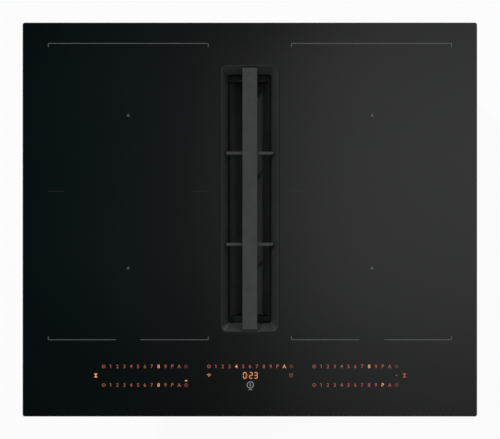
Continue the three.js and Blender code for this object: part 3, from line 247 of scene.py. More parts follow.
# %% [markdown]
# What repeats is modelled once, at the origin, and copied. `repeat` gives each copy its own mesh
# and joins the copies into one piece. `dress` is the last step for every piece: smooth shading,
# the finish, the body that it moves with, and the solid it stands for.

# %% Copy, join and dress
def copy_to(original, place, turn=(0, 0, 0)):
    """A copy with its own mesh, turned (degrees) and then moved (mm)."""
    twin = original.copy()
    twin.data = original.data.copy()
    twin.name = "copy"
    bpy.context.collection.objects.link(twin)
    spin = Euler([math.radians(angle) for angle in turn]).to_matrix().to_4x4()
    twin.data.transform(Matrix.Translation(metres(*place)) @ spin)
    return twin


def joined(name, pieces):
    only(*pieces)
    if len(pieces) > 1:
        bpy.ops.object.join()
    return named(name)


def discard(*pieces):
    for piece in pieces:
        bpy.data.objects.remove(piece)


def dress(piece, finish, body="housing", stands_for=(), smooth=35):
    only(piece)
    bpy.ops.object.shade_smooth_by_angle(angle=math.radians(smooth))
    # Wide faces keep their own direction, so that only the small round ones shade softly.
    even = piece.modifiers.new("even", "WEIGHTED_NORMAL")
    even.keep_sharp = True
    bpy.ops.object.modifier_apply(modifier=even.name)
    piece.data.materials.clear()
    piece.data.materials.append(finish)
    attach(piece, body)
    if stands_for:
        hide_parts(*stands_for)
    print(piece.name, "faces:", len(piece.data.polygons))
    return piece


def repeat(name, master, places, finish, smooth=35):
    """Copies of a master, each at a place (mm) with a turn (degrees), joined and dressed."""
    twins = [copy_to(master, place, turn) for place, turn in places]
    return dress(joined(name, twins), finish, smooth=smooth)


print("copying and dressing are ready")

# %% [markdown]
# ## Finishes
#
# Every finish starts from the real material and the way its surface was made. Two helpers are
# enough: one turns a colour as written on a screen into the linear light that Blender mixes, and
# one adds a node with its settings and links. What is the same all over goes straight into the
# shader's own sockets.

# %% Colour and nodes
def colour(hexadecimal):
    """Screen colour such as #c0ffee to linear red, green, blue and alpha."""
    channels = [int(hexadecimal[i:i + 2], 16) / 255 for i in (1, 3, 5)]
    linear = [c / 12.92 if c <= 0.04045 else ((c + 0.055) / 1.055) ** 2.4 for c in channels]
    return (*linear, 1.0)


def add_node(finish, kind, settings=None, links=None):
    """Adds one node. A setting is a socket's value or the node's own attribute."""
    node = finish.node_tree.nodes.new("ShaderNode" + kind)
    for key, value in (settings or {}).items():
        if isinstance(key, int) or key in node.inputs:
            node.inputs[key].default_value = value
        else:
            setattr(node, key, value)
    for key, source in (links or {}).items():
        finish.node_tree.links.new(source, node.inputs[key])
    return node


def new_finish(name, base, metallic=0.0, roughness=0.5, ior=None):
    finish = bpy.data.materials.new(name)
    finish.use_nodes = True
    shader = finish.node_tree.nodes["Principled BSDF"]
    shader.inputs["Base Color"].default_value = colour(base)
    shader.inputs["Metallic"].default_value = metallic
    shader.inputs["Roughness"].default_value = roughness
    if ior:
        shader.inputs["IOR"].default_value = ior
    return finish


def per_metre(size):
    """The scale of a pattern whose grains are this many millimetres across."""
    return 1 / (size * MM)


print("white is", colour("#ffffff"))

# %% [markdown]
# Most surfaces vary in three ways: the colour drifts a little, the gloss is uneven, and fine
# grain catches the light. `grain` makes such a pattern with grains of a size in millimetres, and
# `stretch` pulls it out in one direction, as brushing or rolling does. `shade`, `gloss` and
# `relief` let a pattern steer the colour, the roughness and the height of the surface.

# %% Variation that most finishes share
def wire(finish, source, socket):
    """Links a node's output to a socket of the finish's shader."""
    shader = finish.node_tree.nodes["Principled BSDF"]
    finish.node_tree.links.new(source, shader.inputs[socket])


def grain(finish, size, stretch=(1, 1, 1), detail=2.0):
    """Noise in object space, whose grains are this many millimetres across."""
    place = add_node(finish, "TexCoord")
    pulled = add_node(finish, "Mapping", {"Scale": stretch}, {"Vector": place.outputs["Object"]})
    noise = add_node(finish, "TexNoise", {"Scale": per_metre(size), "Detail": detail},
                     {"Vector": pulled.outputs[0]})
    return noise.outputs[0]


def shade(finish, pattern, first, second, low=0.35, high=0.65, socket="Base Color"):
    """Mixes two colours by a pattern."""
    spread = add_node(finish, "MapRange", {"From Min": low, "From Max": high}, {"Value": pattern})
    mix = add_node(finish, "Mix", {"data_type": "RGBA", 6: colour(first), 7: colour(second)},
                   {0: spread.outputs[0]})
    wire(finish, mix.outputs[2], socket)


def gloss(finish, pattern, smoothest, roughest, low=0.3, high=0.7):
    """Makes the roughness follow a pattern."""
    spread = add_node(finish, "MapRange", {"From Min": low, "From Max": high,
                      "To Min": smoothest, "To Max": roughest}, {"Value": pattern})
    wire(finish, spread.outputs[0], "Roughness")


def relief(finish, pattern, depth, strength=1.0):
    """Raises and lowers the surface by a pattern, depth in millimetres."""
    bump = add_node(finish, "Bump", {"Distance": depth * MM, "Strength": strength},
                    {"Height": pattern})
    wire(finish, bump.outputs[0], "Normal")


def texture(finish, dark, light, broad, fine, smoothest, roughest, depth, strength):
    """A broad pattern steers the colour, and a fine one the gloss and the height."""
    shade(finish, broad, dark, light)
    gloss(finish, fine, smoothest, roughest)
    relief(finish, fine, depth, strength)
    return finish


print("shared variation is ready")

# %% [markdown]
# ### Glass ceramic
#
# The top is black glass ceramic, cast, rolled and polished. It is almost a mirror, so what we see
# is a dark body with the room's light on it. Wiping leaves faint smears, tens of millimetres
# long, that only show in how sharp the reflection is.

# %% Polished black glass ceramic
glass_polished = new_finish("glass_ceramic_black_polished", "#0a0b0b", 0, 0.05, 1.52)
shade(glass_polished, grain(glass_polished, 180, detail=1.0), "#080a0a", "#0b0c0c")
gloss(glass_polished, grain(glass_polished, 22, (1, 0.35, 1), 3.0), 0.035, 0.075)
print(glass_polished.name)

# %% [markdown]
# The marks on the glass are ceramic enamel, screen-printed and fired in: grey, satin and thin. The
# zone lines are darker than the power mark. Enamel is never quite even, so its colour has specks.

# %% Screen-printed enamel
def enamel(name, dark, light):
    finish = new_finish(name, light, 0, 0.28, 1.52)
    specks = grain(finish, 0.8)
    shade(finish, specks, dark, light)
    relief(finish, specks, 0.01, 0.4)
    return finish


enamel_line = enamel("enamel_grey_printed", "#515353", "#5e6060")
enamel_faint = enamel("enamel_dark_grey_printed", "#141616", "#1a1c1c")
enamel_mark = enamel("enamel_light_grey_printed", "#858788", "#939596")
print(enamel_line.name, enamel_faint.name, enamel_mark.name)

# %% [markdown]
# The slider scale is lit from below: an orange diode behind each number shines through the glass.
# A chosen level is bright, and the others glow dimly. The light is a little uneven across each
# number, as it comes from one small point below it.

# %% Light through the glass
def lit(name, inner, outer):
    finish = new_finish(name, "#140a07", 0, 0.3, 1.5)
    finish.node_tree.nodes["Principled BSDF"].inputs["Emission Strength"].default_value = 1.0
    shade(finish, grain(finish, 2.5, detail=0.0), inner, outer, socket="Emission Color")
    return finish


light_dim = lit("diode_light_orange_dim", "#a4594a", "#935044")
light_bright = lit("diode_light_orange_bright", "#ffb070", "#f6a05f")
light_faint = lit("diode_light_orange_faint", "#7a4c40", "#6e453a")
light_figure = lit("diode_light_amber", "#e59a62", "#d88f5a")
print("diode lights are ready")

# %% [markdown]
# ### Coated metal at the inlet
#
# The inlet frame and the grille are metal with a fine powder coating, dark grey and satin. Powder
# melts into a skin with a faint pebbled texture about half a millimetre across, which gives soft
# highlights along the edges.

# %% Powder-coated metal
def powder_coat(name, dark, light, smoothest, roughest, pebble=0.02, sheen=0.2):
    finish = new_finish(name, light, 0, roughest, 1.45)
    # A matt powder scatters light just under its skin, so little of it is left to shine.
    finish.node_tree.nodes["Principled BSDF"].inputs["Specular IOR Level"].default_value = sheen
    return texture(finish, dark, light, grain(finish, 14), grain(finish, 0.6, detail=1.0),
                   smoothest, roughest, pebble, 0.5)


coat_frame = powder_coat("cast_aluminium_black_powder_coated", "#242525", "#292a2a", 0.42, 0.55)
coat_grille = powder_coat("steel_dark_grey_satin_coated", "#3c3d3d", "#414242", 0.5, 0.62)
coat_filter = powder_coat("steel_black_powder_coated", "#0c0e0e", "#101211", 0.45, 0.58)
print(coat_frame.name, coat_grille.name, coat_filter.name)

# %% [markdown]
# The grease filter is expanded aluminium, slit and pulled into diamonds, then coated black. The
# coat is thin, so the strands keep a slight sheen where they turn, and their colour is uneven.

# %% Black coated mesh
mesh_coated = powder_coat(
    "aluminium_mesh_black_coated", "#0f1111", "#161817", 0.5, 0.65, 0.01, sheen=0.5)
print(mesh_coated.name)

# %% [markdown]
# ### Bare metals
#
# The casing is hot-dip galvanised sheet. Zinc freezes in flat crystals some ten millimetres
# across, the spangle, and each one has its own brightness. The springs are rolled stainless
# strip, the coil plates are pressed aluminium, the heat sinks are extruded, and the motor bracket
# is die-cast: the same metals, told apart by the way their grain runs.

# %% Galvanised sheet
zinc = new_finish("steel_sheet_galvanised", "#b4b8ba", 1.0, 0.38)
spangle = add_node(zinc, "TexVoronoi", {"Scale": per_metre(9)},
                   {"Vector": add_node(zinc, "TexCoord").outputs["Object"]})
spangle_tone = add_node(zinc, "SeparateColor", {}, {"Color": spangle.outputs["Color"]})
shade(zinc, spangle_tone.outputs[0], "#a8acaf", "#bdc1c3", 0, 1)
gloss(zinc, spangle_tone.outputs[1], 0.34, 0.46, 0, 1)
relief(zinc, grain(zinc, 1.5), 0.02, 0.25)
print(zinc.name)


# %% Rolled, brushed and cast metal
def bare_metal(name, dark, light, size, stretch, smoothest, roughest, depth=0.01):
    """A metal whose colour, gloss and relief follow one grain."""
    finish = new_finish(name, light, 1.0, roughest)
    streaks = grain(finish, size, stretch, 3.0)
    return texture(finish, dark, light, streaks, streaks, smoothest, roughest, depth, 0.3)


METALS = [
    # name, dark colour, light colour, grain (mm), stretch, smoothest, roughest, depth (mm)
    ("stainless_steel_rolled", "#a9a8a4", "#c2c1bd", 0.8, (1, 0.06, 1), 0.24, 0.36, 0.01),
    ("stainless_steel_pressed", "#9f9e9b", "#b5b4b0", 2.5, (1, 0.3, 1), 0.25, 0.38, 0.01),
    ("aluminium_sheet_pressed", "#b9bbbd", "#d0d2d3", 1.2, (1, 0.1, 1), 0.3, 0.42, 0.01),
    ("aluminium_extruded", "#a8abad", "#c5c8ca", 0.7, (1, 0.02, 1), 0.32, 0.45, 0.01),
    ("aluminium_die_cast", "#96999b", "#aeb1b3", 1.6, (1, 1, 1), 0.45, 0.62, 0.05),
    ("steel_ground_bright", "#b0b2b4", "#cccecf", 0.5, (1, 1, 0.1), 0.16, 0.26, 0.01),
    ("steel_screw_zinc_plated", "#a4a7a8", "#c4c7c6", 1.0, (1, 1, 1), 0.25, 0.4, 0.02)]
(stainless, tray_steel, pressed_aluminium, extruded_aluminium, cast_aluminium, ground_steel,
 zinc_screw) = [bare_metal(*row) for row in METALS]
print("bare metals:", len(METALS))

# %% [markdown]
# ### Mouldings
#
# The duct housing is injection-moulded polypropylene with a spark-eroded texture: matt, black and
# slightly uneven, with faint flow marks far apart. The outlet and the electronics carriers are
# grey, and the terminal block is pale polyamide.

# %% Moulded plastic
def moulding(name, dark, light, smoothest, roughest, depth=0.03, ior=1.49):
    finish = new_finish(name, light, 0, roughest, ior)
    return texture(finish, dark, light, grain(finish, 60, (1, 1, 0.4)),
                   grain(finish, 0.9, detail=1.0), smoothest, roughest, depth, 0.4)


black_moulded = moulding("polypropylene_black_moulded", "#17191a", "#1f2123", 0.42, 0.58)
fan_moulded = moulding("polyamide_black_moulded", "#131415", "#1a1b1c", 0.34, 0.48)
grey_moulded = moulding("abs_grey_moulded", "#54575a", "#5f6265", 0.4, 0.55, ior=1.53)
pale_moulded = moulding("polyamide_pale_moulded", "#c9c8bf", "#d6d5cc", 0.4, 0.55, ior=1.53)
former_moulded = moulding("phenolic_dark_moulded", "#2a2622", "#35302b", 0.4, 0.55, ior=1.6)
gland_moulded = moulding("polyamide_grey_moulded", "#3a3d40", "#45484b", 0.3, 0.45)
print("mouldings are ready")

# %% [markdown]
# ### Soft seals, windings, mica and boards
#
# The seals are closed-cell foam, with cells under a millimetre. The coils are wound from litz, a
# cord of fine copper wires, and the colour is painted lighter on the raised strands and darker
# between them: a painted highlight and painted shade that run along the lay of the strands. Mica
# is pressed from flakes, and the circuit boards are glass fibre under green solder mask with a
# woven look.

# %% Foam
foam = new_finish("epdm_foam_closed_cell", "#1b1c1c", 0, 0.85, 1.45)
cells = add_node(foam, "TexVoronoi", {"Scale": per_metre(0.9)},
                 {"Vector": add_node(foam, "TexCoord").outputs["Object"]})
# The colour darkens towards each cell's edge, where the relief below sinks the surface: painted
# shade in the grooves between the cells.
shade(foam, cells.outputs["Distance"], "#232424", "#121313", 0.1, 0.7)
relief(foam, cells.outputs["Distance"], -0.2, 0.5)
print(foam.name)

# %% Copper litz
litz = new_finish("copper_litz_enamelled", "#b26a3c", 1.0, 0.34)
lay = add_node(litz, "TexWave", {"Scale": per_metre(1.6) / 6, "Distortion": 2.0,
               "Detail": 2.0, "bands_direction": "DIAGONAL"},
               {"Vector": add_node(litz, "TexCoord").outputs["Object"]})
# Lighter on the raised strands and darker in the grooves between them: painted highlight and
# painted shade along the lay.
shade(litz, lay.outputs[1], "#8c4a26", "#c98352", 0.1, 0.9)
relief(litz, lay.outputs[1], 0.15, 0.6)
print(litz.name)

# %% Mica and circuit board
mica_pressed = new_finish("mica_sheet_pressed", "#b9a98b", 0, 0.4, 1.58)
flakes = add_node(mica_pressed, "TexVoronoi", {"Scale": per_metre(5)},
                  {"Vector": add_node(mica_pressed, "TexCoord").outputs["Object"]})
flake_tone = add_node(mica_pressed, "SeparateColor", {}, {"Color": flakes.outputs["Color"]})
shade(mica_pressed, flake_tone.outputs[0], "#a3926f", "#c9bb9e", 0, 1)
gloss(mica_pressed, flake_tone.outputs[1], 0.28, 0.5, 0, 1)
board_mask = new_finish("glass_fibre_board_solder_masked", "#1f5a35", 0, 0.35, 1.55)
weave = add_node(board_mask, "TexBrick", {"Scale": per_metre(6),
                 "Color1": colour("#1c5431"), "Color2": colour("#236039"),
                 "Mortar": colour("#2f7a4b"), "Mortar Size": 0.02},
                 {"Vector": add_node(board_mask, "TexCoord").outputs["Object"]})
wire(board_mask, weave.outputs[0], "Base Color")
gloss(board_mask, grain(board_mask, 3), 0.28, 0.42)
print(mica_pressed.name, board_mask.name)

# %% [markdown]
# The motor is a steel can with baked black paint, a little glossier than powder and with a
# slight orange peel.

# %% Painted steel
motor_paint = new_finish("steel_can_black_baked_paint", "#1c1d1e", 0, 0.3, 1.5)
peel = grain(motor_paint, 1.8)
texture(motor_paint, "#18191a", "#212223", peel, peel, 0.22, 0.34, 0.03, 0.3)
print(motor_paint.name)

# %% [markdown]
# ## The solids that keep their shape
#
# A solid whose shape is already right keeps it and only gets its finish. The names on the right
# are the starts of the nodes' names, so one line finishes all the pieces of a kind.

# %% Finish the solids
node_finishes = [
    (glass_polished, ["glass_plate"]),
    (foam, ["worktop_seal", "bezel_seal"]),
    (coat_frame, ["inlet_bezel"]),
    (coat_grille, ["grille_"]),
    (coat_filter, ["filter_frame"]),
    (mesh_coated, ["filter_mesh"]),
    (tray_steel, ["drip_tray"]),
    (black_moulded, ["air_duct", "volute", "touch_carrier"]),
    (fan_moulded, ["impeller", "cooling_fan"]),
    (grey_moulded, ["outlet_", "terminal_box", "terminal_cover"]),
    (pale_moulded, ["terminal_block", "zone_sensor"]),
    (gland_moulded, ["cable_gland"]),
    (former_moulded, ["coil_former"]),
    (zinc, ["casing_tray"]),
    (stainless, ["side_spring"]),
    (ground_steel, ["motor_shaft", "flap_pin", "terminal_cover_pin"]),
    (motor_paint, ["fan_motor"]),
    (cast_aluminium, ["motor_bracket"]),
    (pressed_aluminium, ["coil_plate"]),
    (extruded_aluminium, ["heat_sink"]),
    (litz, ["coil_winding"]),
    (mica_pressed, ["mica_sheet"]),
    (board_mask, ["power_board", "touch_board"]),
]
finished = set()
for finish, starts in node_finishes:
    for node_name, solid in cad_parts.items():
        if node_name.startswith(tuple(starts)):
            solid.data.materials.clear()
            solid.data.materials.append(finish)
            finished.add(node_name)
print("finished:", len(finished), "left:", sorted(set(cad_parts) - finished))

# %% [markdown]
# ## The camera
#
# The picture was taken from straight above the middle of the glass, about 1.25 m above it. Lens
# and height together decide how far down into the inlet we can see.

# %% Camera
LENS = 68.22
CAMERA_PLACE = (0.2, 0.1, 1460)
camera_data = bpy.data.cameras.new("camera")
camera_data.lens = LENS
camera = bpy.data.objects.new("camera", camera_data)
bpy.context.collection.objects.link(camera)
camera.location = metres(*CAMERA_PLACE)
bpy.context.scene.camera = camera
print("camera height:", round(camera.location.z, 3))

# %% [markdown]
# ## The glass top
#
# A pane of glass ceramic 4 mm thick. Its long edges are ground to a fine round, the pencil edge,
# which shows as a thin light line. One profile runs up the outside, over the edge, across the
# top, down the hole of the inlet and back underneath.

# %% Glass top
glass_low, glass_high = in_mm(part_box("glass_plate"))
frame_low, frame_high = in_mm(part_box("inlet_bezel"))
frame_half_x = frame_high.x
frame_half_y = (frame_high.y - frame_low.y) / 2
inlet_y = (frame_high.y + frame_low.y) / 2
GLASS_CORNER, FRAME_CORNER = 3, 9
PENCIL = 0.8
glass_loops = []
for inward, corner, height in (
        (0.4, GLASS_CORNER - 0.4, glass_low.z), (0, GLASS_CORNER, glass_low.z + 0.4)):
    glass_loops.append((0, 0, glass_high.x - inward, glass_high.y - inward, corner, height))
for angle in (0, 30, 60, 90):
    inward = PENCIL * (1 - math.cos(math.radians(angle)))
    rise = PENCIL * math.sin(math.radians(angle))
    glass_loops.append((0, 0, glass_high.x - inward, glass_high.y - inward,
                        GLASS_CORNER - inward / 2, glass_high.z - PENCIL + rise))
# One more loop just inside the edge keeps the wide flat top shaded flat.
glass_loops.append((0, 0, glass_high.x - 1.1, glass_high.y - 1.1, 2.5, glass_high.z))
for outward, height in ((0.9, glass_high.z), (0.7, glass_high.z), (0.4, glass_high.z - 0.3),
                        (0.4, glass_low.z)):
    glass_loops.append((0, inlet_y, frame_half_x + outward, frame_half_y + outward,
                        FRAME_CORNER + outward, height))
glass_top = bridged("glass_top", glass_loops)
dress(glass_top, glass_polished, stands_for=["glass_plate"])

# %% [markdown]
# ## The inlet frame
#
# A cast frame sits flush in the glass. It has a narrow flat land, four slopes that lead the
# vapour down, and a straight throat with a small ledge at its foot that carries the filter.

# %% Inlet frame
throat_x, throat_y = 28.75, 165.25
LEDGE_Z = 190
# Each row is half width, half length, corner radius and height.
frame_loops = [
    (frame_half_x, frame_half_y, FRAME_CORNER, 198.3),
    (frame_half_x, frame_half_y, FRAME_CORNER, 209.6),
    (frame_half_x - 0.12, frame_half_y - 0.12, 8.88, 209.88),
    (frame_half_x - 0.4, frame_half_y - 0.4, 8.6, glass_high.z),
    (frame_half_x - 0.85, frame_half_y - 0.85, 8.15, glass_high.z),
    (frame_half_x - 1.25, frame_half_y - 1.3, 7.7, 209.7),
    (throat_x + 0.2, throat_y + 0.25, 3.3, 200.3), (throat_x, throat_y, 3, 199.8),
    (throat_x, throat_y, 3, LEDGE_Z + 0.3), (throat_x - 0.3, throat_y - 0.3, 2.8, LEDGE_Z),
    (throat_x - 1.8, throat_y - 1.8, 1.7, LEDGE_Z),
    (throat_x - 2, throat_y - 2, 1.5, LEDGE_Z - 0.2),
    (throat_x - 2, throat_y - 2, 1.5, LEDGE_Z - 2),
    (throat_x + 1.5, throat_y + 1.5, 4.5, LEDGE_Z - 2),
    (throat_x + 1.5, throat_y + 1.5, 4.5, 198),
    (frame_half_x - 0.3, frame_half_y - 0.3, 8.7, 198)]
inlet_frame = bridged("inlet_frame", [(0, inlet_y, *loop) for loop in frame_loops], steps=8)
dress(inlet_frame, coat_frame, stands_for=["inlet_bezel"], smooth=25)

# %% [markdown]
# ## The grille
#
# One long flat bar covers the middle of the inlet, and two short crossbars under it rest on the
# slopes. The bar's ends are cut away below, so that they lie along the slope. It lifts out first.

# %% Grille bar and crossbars
bar_low, bar_high = in_mm(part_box("grille_bar"))
# The picture shows the bar slightly narrower than the solid, by this much on each side.
BAR_TRIM = 0.3
bar_low.x += BAR_TRIM
bar_high.x -= BAR_TRIM


def under_end(edge):
    """An edge that runs across the bar's underside at one of its ends."""
    place = middle(edge)
    half_length = bar_high.y - inlet_y
    return place.z < bar_low.z + 0.1 and abs(abs(place.y - inlet_y) - half_length) < 0.1


grille_bar_piece = rounded_block("grille_blade", bar_low, bar_high, edge=0)
bevelled(grille_bar_piece, "EDGE", under_end, 1.1, 1)
soften(grille_bar_piece, 0.35, 3)
dress(grille_bar_piece, coat_grille, "grille", ["grille_bar"])
for row in ("front", "rear"):
    low, high = in_mm(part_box("grille_crossbar_" + row))
    crossbar = rounded_block("grille_rest_" + row, low, high, edge=0.3, steps=3)
    dress(crossbar, coat_grille, "grille", ["grille_crossbar_" + row])

# %% [markdown]
# ## The grease filter
#
# The filter is a long basket with a V section. A folded rim rests on the ledge of the inlet, wide
# at the ends and narrow along the sides, and two end walls and a channel along the bottom hold
# the mesh. The end walls start as blocks whose lower edge is drawn in to the V.

# %% Filter basket
BASKET_END = 157.25
BASKET_BOTTOM = 160.6
# Each row of the rim is half width, half length, corner radius and height.
rim_steps = [(28.25, 164.75, 2.4, 190.3), (28.25, 164.75, 2.4, 191.7), (27.95, 164.45, 2.2, 192.1),
             (27.3, 157.0, 0.4, 192.1), (27.1, 156.7, 0.3, 191.8), (27.1, 156.7, 0.3, 190.3)]
basket_parts = [bridged("rim", [(0, inlet_y, *step) for step in rim_steps], steps=4)]
for way in (-1, 1):
    y = inlet_y + way * BASKET_END
    wall = rounded_block(
        "end_wall", (-26.9, y - 0.6, BASKET_BOTTOM), (26.9, y + 0.6, 191.5), edge=0)
    pick(wall, "VERT", lambda vertex: vertex.co.z / MM < BASKET_BOTTOM + 1)
    bpy.ops.transform.resize(value=(0.13, 1, 1), center_override=metres(0, y, BASKET_BOTTOM))
    close(wall)
    basket_parts.append(soften(wall, 0.3))
basket_parts.append(rounded_block(
    "channel", (-3.7, inlet_y - 157.8, 160.3), (3.7, inlet_y + 157.8, 161.7)))
dress(joined("filter_basket", basket_parts), coat_filter, "filter", ["filter_frame"])

# %% [markdown]
# Each long wall of the basket is a panel of expanded metal: sheet that is slit and pulled open
# into diamonds. A grid whose cells are poked gives the crossed lines, the square lines are
# dissolved, and the wireframe modifier turns what is left into strands. Two layers lie on either
# side of a close inner layer, and a folded edge holds them together.

# %% One layer of expanded metal
PANEL_HALF = (156.2, 19.0)
CELLS = (72, 14)
STRAND = 0.55


def square_line(edge):
    """A line of the first grid, along X or Y, that isn't on its border."""
    ends = edge.verts[1].co - edge.verts[0].co
    return min(abs(ends.x), abs(ends.y)) < 1e-7 and not edge.is_boundary


def diamond_layer(name, height):
    layer = add_mesh(bpy.ops.mesh.primitive_grid_add, name, (0, 0, height), metres(*PANEL_HALF, 1),
                     x_subdivisions=CELLS[0], y_subdivisions=CELLS[1], size=2)
    pick(layer, "FACE")
    bpy.ops.mesh.poke()
    pick(layer, "EDGE", square_line)
    bpy.ops.mesh.dissolve_edges(use_verts=False)
    close(layer)
    only(layer)
    strands = layer.modifiers.new("strands", "WIREFRAME")
    strands.thickness = STRAND * MM
    strands.use_replace = True
    bpy.ops.object.modifier_apply(modifier=strands.name)
    # The wireframe leaves the outer side of its border open, so a strip closes it.
    pick(layer, "EDGE", lambda edge: edge.is_boundary)
    bpy.ops.mesh.bridge_edge_loops()
    return close(layer)


upper_layer = diamond_layer("upper_layer", 0.4)
print("strand faces in one layer:", len(upper_layer.data.polygons))

# %% Filter panels
inner_layer = rounded_block("inner_layer", (-156.4, -19.2, -0.2), (156.4, 19.2, 0.2), edge=0.1)
panel_rim = bridged("panel_rim", [
    (0, 0, 156.5, 19.4, 0.6, -0.7), (0, 0, 156.5, 19.4, 0.6, 0.7),
    (0, 0, 155.5, 18.4, 0.6, 0.7), (0, 0, 155.5, 18.4, 0.6, -0.7)], steps=3)
soften(panel_rim, 0.25, 2)
SIDES = ((-1, "left"), (1, "right"))
WALL_SLOPE = 52.2
PANEL_X, PANEL_Z = 14.95, 176.15
for side, name in SIDES:
    # Each panel lies against the inside of its wall, tipped up to the wall's slope.
    tip = Matrix.Rotation(math.radians(-WALL_SLOPE * side), 4, "Y")
    along = Matrix.Rotation(math.radians(90), 4, "Z")
    parts = [copy_to(upper_layer, (0, 0, 0)), copy_to(upper_layer, (0, 0, -0.8)),
             copy_to(inner_layer, (0, 0, 0)), copy_to(panel_rim, (0, 0, 0))]
    panel = joined("grease_mesh_" + name, parts)
    panel.data.transform(
        Matrix.Translation(metres(side * PANEL_X, inlet_y, PANEL_Z)) @ tip @ along)
    dress(panel, mesh_coated, "filter", ["filter_mesh_" + name])
discard(upper_layer, inner_layer, panel_rim)

# %% [markdown]
# ## The drip tray
#
# A shallow pressed pan in the bottom of the housing, below the filter, that catches what runs
# down. Pressed sheet has wide round corners and a rolled rim.

# %% Drip tray
tray_low, tray_high = in_mm(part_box("drip_tray"))
tray_half_y = (tray_high.y - tray_low.y) / 2
# Each row is how far out from the tray's side, the corner radius and how far up.
tray_steps = [(-2.4, 5.6, 0), (-0.7, 7.3, 0.5), (0, 8, 2), (0, 8, 13.4), (-0.3, 7.7, 14),
              (-1.2, 6.8, 14), (-1.5, 6.5, 13.4), (-1.5, 6.5, 3), (-2.2, 5.9, 1.9),
              (-3.6, 4.6, 1.5)]
tray_loops = [(0, inlet_y, tray_high.x + out, tray_half_y + out, corner, tray_low.z + rise)
              for out, corner, rise in tray_steps]
grease_tray = bridged("grease_tray", tray_loops, closed=False)
dress(grease_tray, tray_steel, "tray", ["drip_tray"], smooth=50)

# %% [markdown]
# ## Screws and rivets
#
# The casing and the mouldings are held by pan-head screws with a round socket, and the sheet
# steel by domed rivets. Each is modelled once, standing on the floor at the origin. The screw is
# a short cylinder with its rim bevelled, and its socket is the top face, inset and pushed in.

# %% One screw and one rivet
def upward(face):
    return face.normal.z > 0.99


def round_head(name, radius, height, bevel, sides=16):
    head = add_mesh(bpy.ops.mesh.primitive_cylinder_add, name, (0, 0, height / 2),
                    vertices=sides, radius=radius * MM, depth=height * MM)
    return bevelled(head, "EDGE", lambda edge: middle(edge).z > height - 0.01, bevel)


def hollow(piece, rim, depth):
    """Pushes the top face in, inside a rim of this width."""
    pick(piece, "FACE", upward)
    if rim:
        bpy.ops.mesh.inset(thickness=rim * MM)
    bpy.ops.mesh.extrude_region_move(TRANSFORM_OT_translate={"value": metres(0, 0, -depth)})
    close(piece)


screw = round_head("screw_master", 3.4, 2.1, 1.2)
hollow(screw, 0.6, 1.1)
rivet = round_head("rivet_master", 2.0, 0.9, 0.8, 12)
# The turn that points a head to each side of the object.
FACING = {"left": (0, -90, 0), "right": (0, 90, 0), "front": (90, 0, 0), "rear": (-90, 0, 0),
          "down": (180, 0, 0)}
UNTURNED = (0, 0, 0)
print("screw faces:", len(screw.data.polygons), "rivet faces:", len(rivet.data.polygons))

# %% [markdown]
# ## The casing
#
# The casing is folded from galvanised sheet. At each corner a lap of the long wall is riveted to
# the short wall. Screws through the walls hold the coil plates, and pressed beads stiffen the
# floor so that it doesn't hum.

# %% Corner laps, rivets and screws
ENDS = ((-1, "front"), (1, "rear"))
case_low, case_high = in_mm(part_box("casing_tray"))
laps, lap_rivets = [], []
for side_x in (-1, 1):
    for side_y, facing in ENDS:
        x = side_x * (case_high.x - 14)
        inner_y, outer_y = side_y * (case_high.y - 0.1), side_y * (case_high.y + 0.8)
        low = (x - 7, min(inner_y, outer_y), case_low.z + 4)
        high = (x + 7, max(inner_y, outer_y), case_low.z + 56)
        laps.append(rounded_block("lap", low, high, edge=0.3))
        lap_rivets += [((x, outer_y, case_low.z + up), FACING[facing]) for up in (12, 46)]
dress(joined("casing_laps", laps), zinc)
repeat("casing_lap_rivets", rivet, lap_rivets, zinc_screw)
screw_z = case_low.z + 7
wall_screws = [((side * case_high.x, y, screw_z), FACING[name])
               for side, name in SIDES for y in (-205, -60, 60, 205)]
wall_screws += [((x, side * case_high.y, screw_z), FACING[name])
                for side, name in ENDS for x in (-235, 0, 235)]
repeat("casing_screws", screw, wall_screws, zinc_screw)

# %% Stiffening beads in the casing floor
bead = rounded_block("bead_master", (-95, -4, -0.9), (95, 4, 0.3), edge=0, corner=3.9)
bevelled(bead, "FACE", lambda face: face.normal.z < -0.9, 0.8)
bead_places = [(-158, y) for y in (-66, -22, 22, 66, 110)] + [(-158, -205), (60, -205), (-60, 229)]
repeat("casing_floor_beads", bead, [((x, y, case_low.z), UNTURNED) for x, y in bead_places],
       zinc, smooth=60)
discard(bead)

# %% Rivets in the feet of the side springs
SPRING_FOOT_X = 279.0
spring_rivets = []
for side, name in SIDES:
    for row in ("front", "rear"):
        low, high = in_mm(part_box(f"side_spring_{row}_{name}"))
        y = (low.y + high.y) / 2
        spring_rivets += [((side * SPRING_FOOT_X, y + dy, z), FACING[name])
                          for dy in (-9, 9) for z in (low.z + 1.2, high.z - 1.2)]
repeat("spring_rivets", rivet, spring_rivets, stainless)

# %% [markdown]
# ## The duct housing
#
# The housing is moulded in shells. Where the lower shell meets the fan's shell there is a flange
# with a parting line, screwed from below. The tall plenum has ribs down its walls and its lid
# snaps on under a rim with clips. These are what the eye expects of a moulded part.

# %% Flange round the fan's base
base_low, base_high = in_mm(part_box("volute"))
BASE_LEFT, BASE_REAR = 43.3, 132.5
base_half_x = base_high.x / 2
base_half_y = (BASE_REAR - base_low.y) / 2
base_y = (BASE_REAR + base_low.y) / 2
# Each row is how far out from the shell's wall, and the height.
flange_steps = [(0.05, 35.2), (3.6, 35.2), (4.2, 35.8), (4.2, 37.5), (3.6, 37.85), (4.2, 38.2),
                (4.2, 40.2), (3.6, 40.8), (0.05, 40.8)]
shell_flange = bridged("shell_flange", [
    (base_half_x, base_y, base_half_x + out, base_half_y + out, 22 + out, z)
    for out, z in flange_steps])
pick(shell_flange, "FACE")
bpy.ops.mesh.bisect(plane_co=metres(BASE_LEFT, 0, 0), plane_no=(1, 0, 0), clear_inner=True,
                    use_fill=True)
close(shell_flange)
dress(shell_flange, black_moulded)

